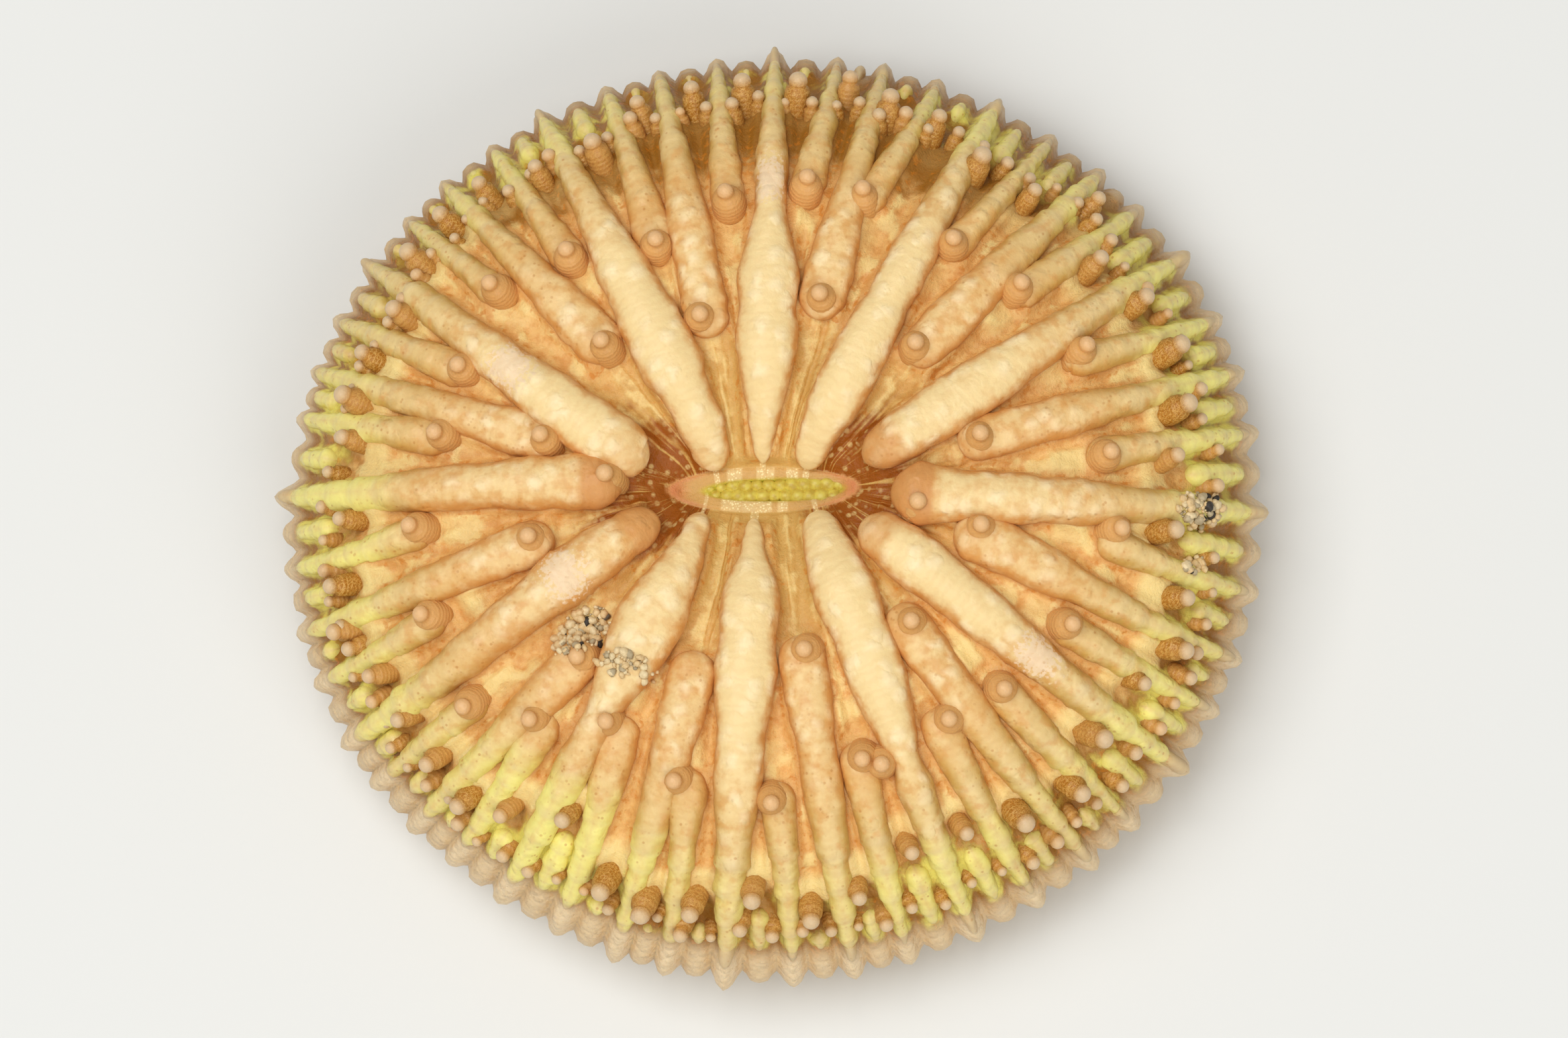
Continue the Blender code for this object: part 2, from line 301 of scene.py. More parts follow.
    def normal(self, turn: float, share: float) -> Vector:
        """The direction that points straight out of the flesh between the ridges.

        Args:
            turn: the place's turn.
            share: the place's share.

        Returns:
            The direction, one unit long.
        """
        out = self.dome_height * share**2
        up = self.half_width * self.rise(share) / self.dome_height / (2 * max(share, 0.01))
        way = self.outward(turn, share)
        return Vector((way.x * out, way.y * out, up)).normalized()

    def spread(self, turn: float, share: float) -> float:
        """The distance sideways for each radian of turn."""
        reach = share * self.rim(turn)
        return math.hypot(reach, self.slit_focus * math.sin(math.radians(turn)))


DISC = Disc()


@dataclass(frozen=True)
class Oval:
    """An oval round the mouth, with its long way along X."""

    middle: float
    half_length: float
    half_width: float

    def measure(self, place: Vector) -> float:
        """How far out a place lies: below 1 inside the oval and 1 on its line."""
        return math.hypot((place.x - self.middle) / self.half_length, place.y / self.half_width)


LIPS = Oval(0.08 * MM, 3.29 * MM, 0.78 * MM)
SLIT = Oval(0.39 * MM, 2.62 * MM, 0.43 * MM)


class Cycle(Enum):
    """The four sizes of ridge, from the first and largest to the last."""

    MAIN = 0
    THIRD = 1
    FOURTH = 2
    FIFTH = 3


@dataclass(frozen=True)
class RidgeForm:
    """The form that the ridges of one cycle share: knots run over the share of the way out."""

    half_widths: Knots
    heights: Knots
    rings: int
    around: int
    inner_cap: float
    outer_share: float


FORMS: dict[Cycle, RidgeForm] = {
    Cycle.MAIN: RidgeForm(
        half_widths=(
            (0.05, 0.50 * MM), (0.12, 0.60 * MM), (0.20, 0.82 * MM), (0.30, 0.98 * MM),
            (0.45, 0.94 * MM), (0.58, 0.82 * MM), (0.72, 0.72 * MM), (0.87, 0.56 * MM),
            (0.93, 0.40 * MM), (0.985, 0.26 * MM),
        ),
        heights=(
            (0.05, 0.45 * MM), (0.14, 0.85 * MM), (0.28, 1.30 * MM), (0.60, 1.25 * MM),
            (0.80, 1.05 * MM), (0.97, 0.85 * MM),
        ),
        rings=130, around=28, inner_cap=0.85 * MM, outer_share=0.996,
    ),
    Cycle.THIRD: RidgeForm(
        half_widths=(
            (0.35, 0.80 * MM), (0.50, 0.82 * MM), (0.66, 0.70 * MM), (0.80, 0.56 * MM),
            (0.90, 0.42 * MM), (0.985, 0.25 * MM),
        ),
        heights=((0.35, 0.90 * MM), (0.60, 1.05 * MM), (0.80, 0.90 * MM), (0.97, 0.76 * MM)),
        rings=100, around=24, inner_cap=0.80 * MM, outer_share=0.994,
    ),
    Cycle.FOURTH: RidgeForm(
        half_widths=(
            (0.55, 0.72 * MM), (0.68, 0.68 * MM), (0.82, 0.52 * MM), (0.90, 0.40 * MM),
            (0.985, 0.24 * MM),
        ),
        heights=((0.55, 0.75 * MM), (0.75, 0.88 * MM), (0.97, 0.70 * MM)),
        rings=72, around=20, inner_cap=0.65 * MM, outer_share=0.992,
    ),
    Cycle.FIFTH: RidgeForm(
        half_widths=((0.80, 0.40 * MM), (0.92, 0.40 * MM), (0.97, 0.28 * MM)),
        heights=((0.80, 0.55 * MM), (0.90, 0.70 * MM), (0.97, 0.62 * MM)),
        rings=40, around=14, inner_cap=0.35 * MM, outer_share=0.984,
    ),
}
# How many times as wide as the others a main ridge's innermost part is
INNER_WIDTHS = {
    0: 0.78, 8: 0.92, 16: 1.05, 24: 0.55, 32: 1.10, 48: 0.95, 64: 0.85, 72: 0.55, 80: 1.10, 88: 0.76,
}
# The same for its outer part
OUTER_WIDTHS = {8: 0.90, 16: 0.84, 24: 0.70, 32: 0.80, 40: 0.88, 64: 0.92, 72: 1.05, 80: 0.88}
# Middle share, reach in share and amount of the places where a main ridge swells or narrows
SWELLS = {
    16: ((0.45, 0.2, -0.08),),
    24: ((0.62, 0.06, -0.30), (0.42, 0.10, 0.10)),
    32: ((0.40, 0.16, 0.14),),
    64: ((0.20, 0.09, -0.22), (0.38, 0.09, 0.26), (0.62, 0.10, -0.22)),
    72: ((0.40, 0.12, 0.06), (0.15, 0.06, -0.2)),
    80: ((0.34, 0.14, 0.14), (0.68, 0.035, -0.30)),
}
# The main ridges that reach the lips
POINTED = (16, 24, 32, 64, 72, 80)
# Middle and half width, in mm along the mouth, of the cream stripes that cross each lip
UPPER_STRIPES = ((-0.93, 0.26), (-0.05, 0.14), (0.30, 0.14), (1.05, 0.22))
LOWER_STRIPES = ((-1.05, 0.34), (-0.42, 0.30), (0.10, 0.26), (0.72, 0.18))
# How far the rim's teeth stand out, by turn, as a share of their full height
TOOTH_SCALES = (
    (0, 0.70), (14, 0.80), (29, 1.00), (45, 0.75), (60, 0.85), (75, 0.93), (90, 1.00), (104, 0.75),
    (119, 0.85), (134, 0.78), (149, 0.86), (163, 0.64), (174, 0.75), (179, 1.00), (186, 0.70),
    (196, 0.60), (211, 0.64), (224, 0.46), (237, 0.50), (252, 0.85), (265, 1.05), (280, 0.92),
    (295, 0.82), (310, 0.85), (325, 0.88), (340, 0.76), (352, 0.74), (360, 0.70),
)

# The share, by turn, at which the flesh of the ridges gives way to the beige rim
RIM_STARTS = (
    (0, 0.972), (190, 0.970), (212, 0.956), (235, 0.948), (255, 0.957), (270, 0.965), (300, 0.971),
    (330, 0.974), (345, 0.973),
)
RIM_BLEND = 0.022
# The share at which the table of ridge forms takes the beige rim to start
USUAL_RIM_START = 0.971


@dataclass(frozen=True)
class Ridge:
    """One septum with the flesh on it: where it runs, as seen, and how it is marked."""

    index: int
    cycle: Cycle
    rim_turn: float
    inner_turn: float
    inner_reach: float
    core: float = 0.5
    lobe: float = 1.0
    chalk_reach: float = 0.0


# Seen turn at the rim, seen turn and reach in mm of the inner end, strength of the cream core,
# strength of the clear lobe at the inner end, reach in mm of a chalky patch or 0
MAIN_ROWS = (
    (-3.0, -1.5, 3.6, 0.65, 1.0, 0.0), (29.5, 24.0, 2.8, 0.85, 0.65, 0.0),
    (59.5, 57.0, 0.9, 1.00, 0.0, 0.0), (88.5, 89.0, 1.0, 1.00, 0.0, 10.3),
    (119.5, 123.0, 0.9, 1.00, 0.3, 0.0), (148.5, 159.0, 3.2, 0.90, 0.4, 8.9),
    (179.5, 173.7, 3.9, 0.50, 1.0, 0.0), (211.0, 197.5, 2.8, 0.45, 0.7, 6.8),
    (237.5, 226.0, 1.25, 0.70, 0.2, 0.0), (265.5, 265.0, 1.1, 1.00, 0.0, 0.0),
    (295.0, 310.5, 1.2, 1.00, 0.0, 0.0), (325.5, 335.8, 2.9, 0.90, 0.55, 10.8),
)
# Seen turn at the rim, seen turn and reach in mm of the inner end
THIRD_ROWS = (
    (14.0, 14.5, 6.3), (44.0, 44.5, 6.3), (74.5, 74.5, 6.1), (103.5, 106.0, 5.5),
    (134.5, 134.3, 6.5), (163.5, 164.2, 6.5), (196.5, 191.5, 6.7), (224.0, 224.0, 7.6),
    (252.5, 250.0, 5.9), (280.5, 282.5, 5.2), (310.5, 315.5, 5.8), (339.5, 348.5, 6.2),
)
FOURTH_ROWS = (
    (6.5, 5.8, 10.7), (21.0, 23.5, 10.8), (37.5, 39.0, 10.3), (51.5, 53.5, 9.9),
    (67.5, 71.0, 10.1), (80.5, 82.0, 10.2), (96.0, 96.5, 9.7), (110.5, 111.6, 8.8),
    (127.0, 127.5, 9.9), (141.0, 141.0, 10.8), (156.5, 156.0, 10.3), (169.5, 168.7, 10.3),
    (188.5, 185.5, 10.9), (203.0, 200.5, 11.2), (217.0, 216.5, 11.4), (230.0, 226.3, 10.2),
    (245.0, 238.5, 8.9), (258.5, 255.0, 9.8), (273.5, 272.0, 10.0), (287.0, 289.5, 9.2),
    (303.0, 307.0, 9.4), (317.0, 319.0, 9.9), (333.0, 335.0, 10.6), (347.5, 352.0, 11.2),
)
# Seen turn and reach in mm of the pale knob at each third-cycle ridge's inner end
THIRD_KNOBS = (
    (14.5, 7.2), (45.5, 7.0), (74.5, 7.0), (107.5, 6.4), (134.3, 7.3), (164.3, 7.3), (191.5, 7.6),
    (224.0, 8.2), (283.5, 5.7), (315.5, 6.6), (349.0, 7.1),
)
FOURTH_KNOBS = (
    (5.5, 11.6), (24.0, 11.8), (39.2, 11.1), (53.5, 10.7), (72.0, 10.9), (82.0, 10.9),
    (96.5, 10.4), (111.7, 9.4), (127.5, 10.6), (141.0, 11.6), (156.0, 11.0), (168.7, 11.0),
    (185.3, 11.7), (200.3, 12.0), (216.7, 12.3), (225.8, 10.9), (237.5, 9.4), (254.2, 10.4),
    (271.8, 10.8), (289.5, 9.9), (292.5, 10.3), (307.5, 10.1), (318.7, 10.6), (334.8, 11.3),
    (352.7, 12.0),
)
MAIN_KNOBS = ((353.5, 4.6), (172.5, 4.6))
# Seen turn and reach in mm of the brown tentacles near the rim, one for each fifth-cycle ridge
RIM_TENTACLES = (
    (3.5, 13.6), (10.5, 14.1), (18.5, 14.4), (26.5, 14.0), (34.3, 13.4), (41.0, 14.7),
    (48.0, 13.4), (57.0, 13.2), (65.0, 13.8), (72.0, 13.8), (78.0, 14.2), (85.0, 13.8),
    (92.5, 13.8), (99.5, 13.8), (107.0, 13.8), (115.0, 13.0), (124.0, 13.3), (131.5, 14.0),
    (138.0, 14.1), (145.0, 14.1), (152.5, 13.5), (160.0, 13.9), (166.5, 14.0), (172.0, 13.8),
    (183.5, 13.8), (192.5, 14.4), (198.5, 14.7), (206.0, 14.2), (213.0, 14.1), (220.0, 14.2),
    (227.0, 14.4), (232.3, 13.8), (240.0, 12.8), (249.0, 14.4), (254.7, 14.7), (261.0, 14.4),
    (268.8, 13.8), (276.5, 14.6), (283.0, 14.2), (291.5, 13.3), (299.5, 13.5), (307.0, 14.2),
    (315.0, 14.7), (322.0, 14.0), (331.5, 14.2), (337.5, 14.9), (344.0, 14.4), (353.0, 13.5),
)


class Fan:
    """The 96 ridges in their places round the mouth."""

    steady_share: float = 0.08

    def __init__(self) -> None:
        """Lists the ridges in order, with the fifth cycle halfway between its neighbours."""
        self.ridges: list[Ridge] = []
        for group in range(12):
            rim, inner, reach, core, lobe, chalk = MAIN_ROWS[group]
            self.add(Cycle.MAIN, rim, inner, reach, core=core, lobe=lobe, chalk_reach=chalk * MM)
            self.add_fifth()
            self.add(Cycle.FOURTH, *FOURTH_ROWS[2 * group], core=0.30, lobe=0.3)
            self.add_fifth()
            self.add(Cycle.THIRD, *THIRD_ROWS[group], core=0.45, lobe=0.4)
            self.add_fifth()
            self.add(Cycle.FOURTH, *FOURTH_ROWS[2 * group + 1], core=0.30, lobe=0.3)
            self.add_fifth()

    def add(self, cycle: Cycle, rim: float, inner: float, reach: float, **marks: float) -> None:
        """Adds the next ridge, whose inner end's reach is given in millimetres."""
        self.ridges.append(Ridge(len(self.ridges), cycle, rim, inner, reach * MM, **marks))

    def add_fifth(self) -> None:
        """Adds the next fifth-cycle ridge, which starts just outside its tentacle."""
        turn, reach = RIM_TENTACLES[len(self.ridges) // 2]
        self.add(Cycle.FIFTH, turn, turn, reach + 0.45, core=0.2, lobe=0.0)

    def seen_main(self, group: int, share: float) -> float:
        """The seen turn of main ridge number group, which may be 12, at a share.

        Args:
            group: which main ridge, where 12 is the first one again.
            share: the seen share.

        Returns:
            The turn in degrees.
        """
        ridge = self.ridges[8 * (group % 12)]
        start = ridge.inner_reach / DISC.seen_rim(ridge.inner_turn)
        left = 1 - min(max((share - start) / (1 - start), 0.0), 1.0)
        return ridge.rim_turn + (ridge.inner_turn - ridge.rim_turn) * left**2 + 360 * (group // 12)

    def seen_turn(self, index: int, share: float) -> float:
        """The seen turn of a ridge's crest, 0 to 96, at a share of the way out.

        Args:
            index: the ridge's index, where 96 is the first one again.
            share: the seen share.

        Returns:
            The turn in degrees.
        """
        group, rank = divmod(index, 8)
        if rank == 0:
            return self.seen_main(group, share)
        if rank % 2:
            return (self.seen_turn(index - 1, share) + self.seen_turn(index + 1, share)) / 2
        ridge = self.ridges[index]
        start = ridge.inner_reach / DISC.seen_rim(ridge.inner_turn)

        def part_of(turn: float, at: float) -> float:
            """How far a turn lies from the main ridge before to the one after, at a share."""
            before, after = self.seen_main(group, at), self.seen_main(group + 1, at)
            return (turn - before) / (after - before)

        at_rim, at_end = part_of(ridge.rim_turn, 1.0), part_of(ridge.inner_turn, start)
        left = 1 - min(max((share - start) / (1 - start), 0.0), 1.0)
        part = at_rim + (at_end - at_rim) * left**2
        before, after = self.seen_main(group, share), self.seen_main(group + 1, share)
        return before + (after - before) * part

    def turn(self, index: int, share: float) -> float:
        """The true turn of a ridge's crest, 0 to 96, at a share, held steady round the mouth.

        Args:
            index: the ridge's index, where 96 is the first one again.
            share: the share.

        Returns:
            The turn in degrees.
        """
        held = max(share, self.steady_share)
        seen = self.seen_turn(index, held)
        return DISC.upright(seen, held * DISC.seen_rim(seen))[0]

    def inner_share(self, ridge: Ridge) -> float:
        """The true share at which a ridge starts."""
        return DISC.upright(ridge.inner_turn, ridge.inner_reach, 0.3 * MM)[1]

    def of_cycle(self, cycle: Cycle) -> list[Ridge]:
        """The ridges of one cycle."""
        return [ridge for ridge in self.ridges if ridge.cycle is cycle]


FAN = Fan()


def greenness(turn: float) -> float:
    """How yellow-green the rim is at a turn: most at the right, the left and low left.

    Args:
        turn: the turn.

    Returns:
        The amount, from 0 to 1.
    """
    patches = (
        (15.0, 48.0, 1.0), (62.0, 14.0, 0.80), (90.0, 20.0, 0.55), (125.0, 30.0, 0.75),
        (180.0, 30.0, 1.0), (205.0, 16.0, 0.8), (238.0, 24.0, 1.0), (270.0, 20.0, 0.55),
        (295.0, 22.0, 0.80), (330.0, 24.0, 0.85),
    )
    total = 0.0
    for middle, width, strength in patches:
        off = (turn - middle + 180) % 360 - 180
        total = max(total, strength * math.exp(-((off / width) ** 2)))
    return max(total, 0.40)


class Wiring:
    """Builds a material's nodes a line at a time."""

    def __init__(self, name: str) -> None:
        """Starts a material with a shader and its output.

        Args:
            name: the material's name.
        """
        self.material = bpy.data.materials.new(name)
        self.material.use_nodes = True
        self.tree = self.material.node_tree
        self.shader = self.tree.nodes["Principled BSDF"]

    def link(self, value: object, socket: bpy.types.NodeSocket) -> None:
        """Links an output to a socket, or sets the socket to a plain value.

        Args:
            value: a node's output, a colour or a number.
            socket: the socket that takes it.
        """
        if isinstance(value, bpy.types.NodeSocket):
            self.tree.links.new(value, socket)
        elif isinstance(value, tuple) and len(value) == 3 and socket.type == "RGBA":
            socket.default_value = (*value, 1.0)
        else:
            socket.default_value = value

    def node(self, kind: str, inputs: dict[str | int, object], **settings: object) -> bpy.types.Node:
        """Adds one node.

        Args:
            kind: the node's type, without its ShaderNode prefix.
            inputs: values or outputs for its sockets, by name or number.
            settings: values for its own properties.

        Returns:
            The node.
        """
        made = self.tree.nodes.new("ShaderNode" + kind)
        for key, value in settings.items():
            setattr(made, key, value)
        for key, value in inputs.items():
            self.link(value, made.inputs[key])
        return made

    def attribute(self, name: str) -> bpy.types.NodeSocket:
        """The value of a vertex attribute."""
        return self.node("Attribute", {}, attribute_name=name).outputs["Fac"]

    def uv(self, stretch: tuple[float, float, float] = (1.0, 1.0, 1.0)) -> bpy.types.NodeSocket:
        """The piece's UV map, which is in millimetres, stretched."""
        source = self.node("TexCoord", {}).outputs["UV"]
        return self.node("Mapping", {"Vector": source, "Scale": stretch}).outputs["Vector"]

    def place(self, scale: float = 1.0) -> bpy.types.NodeSocket:
        """Object coordinates in millimetres, times a scale.

        Args:
            scale: what they are multiplied by.

        Returns:
            The coordinates.
        """
        source = self.node("TexCoord", {}).outputs["Object"]
        size = (scale / MM,) * 3
        return self.node("Mapping", {"Vector": source, "Scale": size}).outputs["Vector"]

    def noise(
        self, vector: bpy.types.NodeSocket, scale: float, detail: float = 3.0
    ) -> bpy.types.NodeSocket:
        """A noise texture's value."""
        inputs = {"Vector": vector, "Scale": scale, "Detail": detail}
        return self.node("TexNoise", inputs).outputs["Fac"]

    def cells(self, vector: bpy.types.NodeSocket, scale: float) -> bpy.types.NodeSocket:
        """The distance to the nearest point of a cell texture."""
        return self.node("TexVoronoi", {"Vector": vector, "Scale": scale}).outputs["Distance"]

    def blobs(self, scale: float) -> bpy.types.NodeSocket:
        """Soft, uneven blobs, so many to a millimetre: 1 at their middles and 0 between them.

        Args:
            scale: how many there are to a millimetre.

        Returns:
            The value.
        """
        spot = self.place(scale)
        bent = self.node("VectorMath", {0: spot, 1: self.noise(spot, 1.1)}, operation="ADD").outputs[0]
        return self.ramp(self.cells(bent, 1.0), 0.10, 0.56, 1.0, 0.0)

    def ramp(
        self, value: object, low: float, high: float, to_low: float = 0.0, to_high: float = 1.0
    ) -> bpy.types.NodeSocket:
        """A value carried smoothly from one range to another, and held at its ends.

        Args:
            value: an output or a number.
            low: the first range's start.
            high: its end.
            to_low: the second range's start.
            to_high: its end.

        Returns:
            The carried value.
        """
        inputs = {"Value": value, "From Min": low, "From Max": high, "To Min": to_low, "To Max": to_high}
        made = self.node("MapRange", inputs, interpolation_type="SMOOTHSTEP")
        return made.outputs["Result"]

    def rough_edge(self, name: str, texture: object, less: float, more: float) -> bpy.types.NodeSocket:
        """A vertex attribute, roughened by a texture whose values add from less to more."""
        return self.maths("ADD", self.attribute(name), self.ramp(texture, 0.3, 0.7, less, more))

    def maths(self, operation: str, first: object, second: object = 0.0) -> bpy.types.NodeSocket:
        """The result of a sum on two values."""
        return self.node("Math", {0: first, 1: second}, operation=operation).outputs[0]

    def mix(self, amount: object, under: object, over: object, way: str = "MIX") -> bpy.types.NodeSocket:
        """A colour laid over another by an amount.

        Args:
            amount: how much of it shows, from 0 to 1.
            under: the colour below.
            over: the colour laid over it.
            way: how the two are blended.

        Returns:
            The colour.
        """
        made = self.node("Mix", {}, data_type="RGBA", blend_type=way)
        self.link(amount, made.inputs[0])
        self.link(under, made.inputs[6])
        self.link(over, made.inputs[7])
        return made.outputs[2]

    def bump(self, height: object, depth: float, below: object = None) -> bpy.types.NodeSocket:
        """A bump of a depth in metres, over another bump if one is given.

        Args:
            height: the relief, as an output.
            depth: how far a height of 1 stands out.
            below: the other bump's direction.

        Returns:
            The bumped surface's direction.
        """
        inputs: dict[str | int, object] = {"Height": height, "Distance": depth, "Strength": 1.0}
        if below is not None:
            inputs["Normal"] = below
        return self.node("Bump", inputs).outputs["Normal"]

    def finish(self, colour: object, normal: object = None, **values: object) -> bpy.types.Material:
        """Sets the shader's inputs, by names with underscores for spaces, and ends the material.

        Args:
            colour: the base colour.
            normal: the bumped surface's direction.
            values: the other inputs' values.

        Returns:
            The material.
        """
        self.link(colour, self.shader.inputs["Base Color"])
        self.shader.subsurface_method = "BURLEY"
        if normal is not None:
            self.link(normal, self.shader.inputs["Normal"])
        for key, value in values.items():
            self.link(value, self.shader.inputs[key.replace("_", " ").title().replace("Ior", "IOR")])
        return self.material


@dataclass(frozen=True)
class FleshGlow:
    """How light spreads inside living tissue."""

    weight: float = 0.22
    scale: float = 0.55 * MM
    radius: tuple[float, float, float] = (1.0, 0.55, 0.22)

    def values(self) -> dict[str, object]:
        """The shader's values for it."""
        return {
            "specular_ior_level": 0.3,
            "subsurface_weight": self.weight,
            "subsurface_scale": self.scale,
            "subsurface_radius": self.radius,
        }


@dataclass(frozen=True)
class RidgeFinish:
    """The flesh on the ridges: cream cores, clear lobes, growth wrinkles, a green rim, and flanks darkened
    to orange, partly painted shade.
    """

    name: str = "ridge_flesh"
    # The flank orange is partly the flesh's own colour; laid down the ridges' sides by the side mark, it is
    # also painted shade
    flank: Colour = srgb(214, 150, 78)
    body: Colour = srgb(222, 172, 104)
    # The outer part's colour darkens from outer_crest on the crest to outer down the sides, partly painted
    # shade
    outer: Colour = srgb(202, 164, 84)
    outer_crest: Colour = srgb(226, 196, 132)
    cream: Colour = srgb(240, 212, 152)
    lobe: Colour = srgb(208, 144, 80)
    pearl: Colour = srgb(250, 228, 180)
    chalk: Colour = srgb(238, 210, 172)
    green: Colour = srgb(244, 234, 134)
    tip: Colour = srgb(210, 184, 140)
    speck: Colour = srgb(186, 120, 50)

    def make(self) -> bpy.types.Material:
        """Builds the material.

        Returns:
            The material.
        """
        wiring = Wiring(self.name)
        spot = wiring.place()
        share, side = wiring.attribute("share"), wiring.attribute("side")
        mottle = wiring.noise(spot, 1.6, 4.0)
        fine = wiring.noise(spot, 7.0, 3.0)
        wrinkle_bend = wiring.maths("MULTIPLY", wiring.noise(spot, 2.4, 2.0), 0.55)
        along = wiring.node("SeparateXYZ", {"Vector": wiring.uv()}).outputs["Y"]
        phase = wiring.maths("MULTIPLY", wiring.maths("ADD", along, wrinkle_bend), math.tau / 0.30)
        wrinkle = wiring.maths("SINE", phase)
        # Down each ridge's sides the colour darkens from body to flank, and further out from outer_crest to
        # outer: partly the flesh's own orange, partly painted shade
        colour = wiring.mix(wiring.ramp(side, 0.55, 1.0), self.body, self.flank)
        outer = wiring.mix(wiring.ramp(side, 0.25, 0.85), self.outer_crest, self.outer)
        colour = wiring.mix(wiring.ramp(share, 0.60, 0.84), colour, outer)
        patches = wiring.noise(spot, 2.3, 3.0)
        colour = wiring.mix(wiring.ramp(mottle, 0.45, 0.72, 0.0, 0.45), colour, self.cream)
        colour = wiring.mix(wiring.ramp(patches, 0.48, 0.70, 0.0, 0.50), colour, self.flank)
        core = wiring.attribute("core")
        core_edge = wiring.maths("ADD", core, wiring.ramp(patches, 0.35, 0.65, 0.14, -0.14))
        colour = wiring.mix(wiring.ramp(core_edge, 0.08, 0.90, 0.0, 0.96), colour, self.cream)
        blobs = wiring.blobs(1.3)
        pearls = wiring.maths("MULTIPLY", blobs, wiring.ramp(core, 0.06, 0.45, 0.0, 0.68))
        colour = wiring.mix(pearls, colour, self.pearl)
        colour = wiring.mix(wiring.ramp(wiring.attribute("lobe"), 0.25, 0.85, 0.0, 0.85), colour, self.lobe)
        green_edge = wiring.rough_edge("green", mottle, -0.08, 0.08)
        colour = wiring.mix(wiring.ramp(green_edge, 0.08, 0.80, 0.0, 0.92), colour, self.green)
        colour = wiring.mix(wiring.attribute("tip"), colour, self.tip)
        chalk_edge = wiring.rough_edge("chalk", fine, -0.3, 0.3)
        colour = wiring.mix(wiring.ramp(chalk_edge, 0.40, 0.75, 0.0, 0.85), colour, self.chalk)
        specks = wiring.ramp(wiring.cells(spot, 4.2), 0.12, 0.30, 1.0, 0.0)
        sparse = wiring.ramp(wiring.noise(spot, 1.9, 2.0), 0.44, 0.62, 0.05, 0.50)
        sparse = wiring.maths("MULTIPLY", sparse, wiring.ramp(core, 0.2, 0.6, 1.0, 0.12))
        colour = wiring.mix(wiring.maths("MULTIPLY", specks, sparse), colour, self.speck)
        streak = wiring.ramp(wrinkle, -1.0, 1.0, 0.0, 0.06)
        colour = wiring.mix(streak, colour, self.flank, "MULTIPLY")
        normal = wiring.bump(wrinkle, 0.002 * MM)
        normal = wiring.bump(fine, 0.018 * MM, normal)
        normal = wiring.bump(blobs, 0.04 * MM, normal)
        roughness = wiring.ramp(mottle, 0.3, 0.7, 0.34, 0.50)
        return wiring.finish(colour, normal, roughness=roughness, **FleshGlow().values())


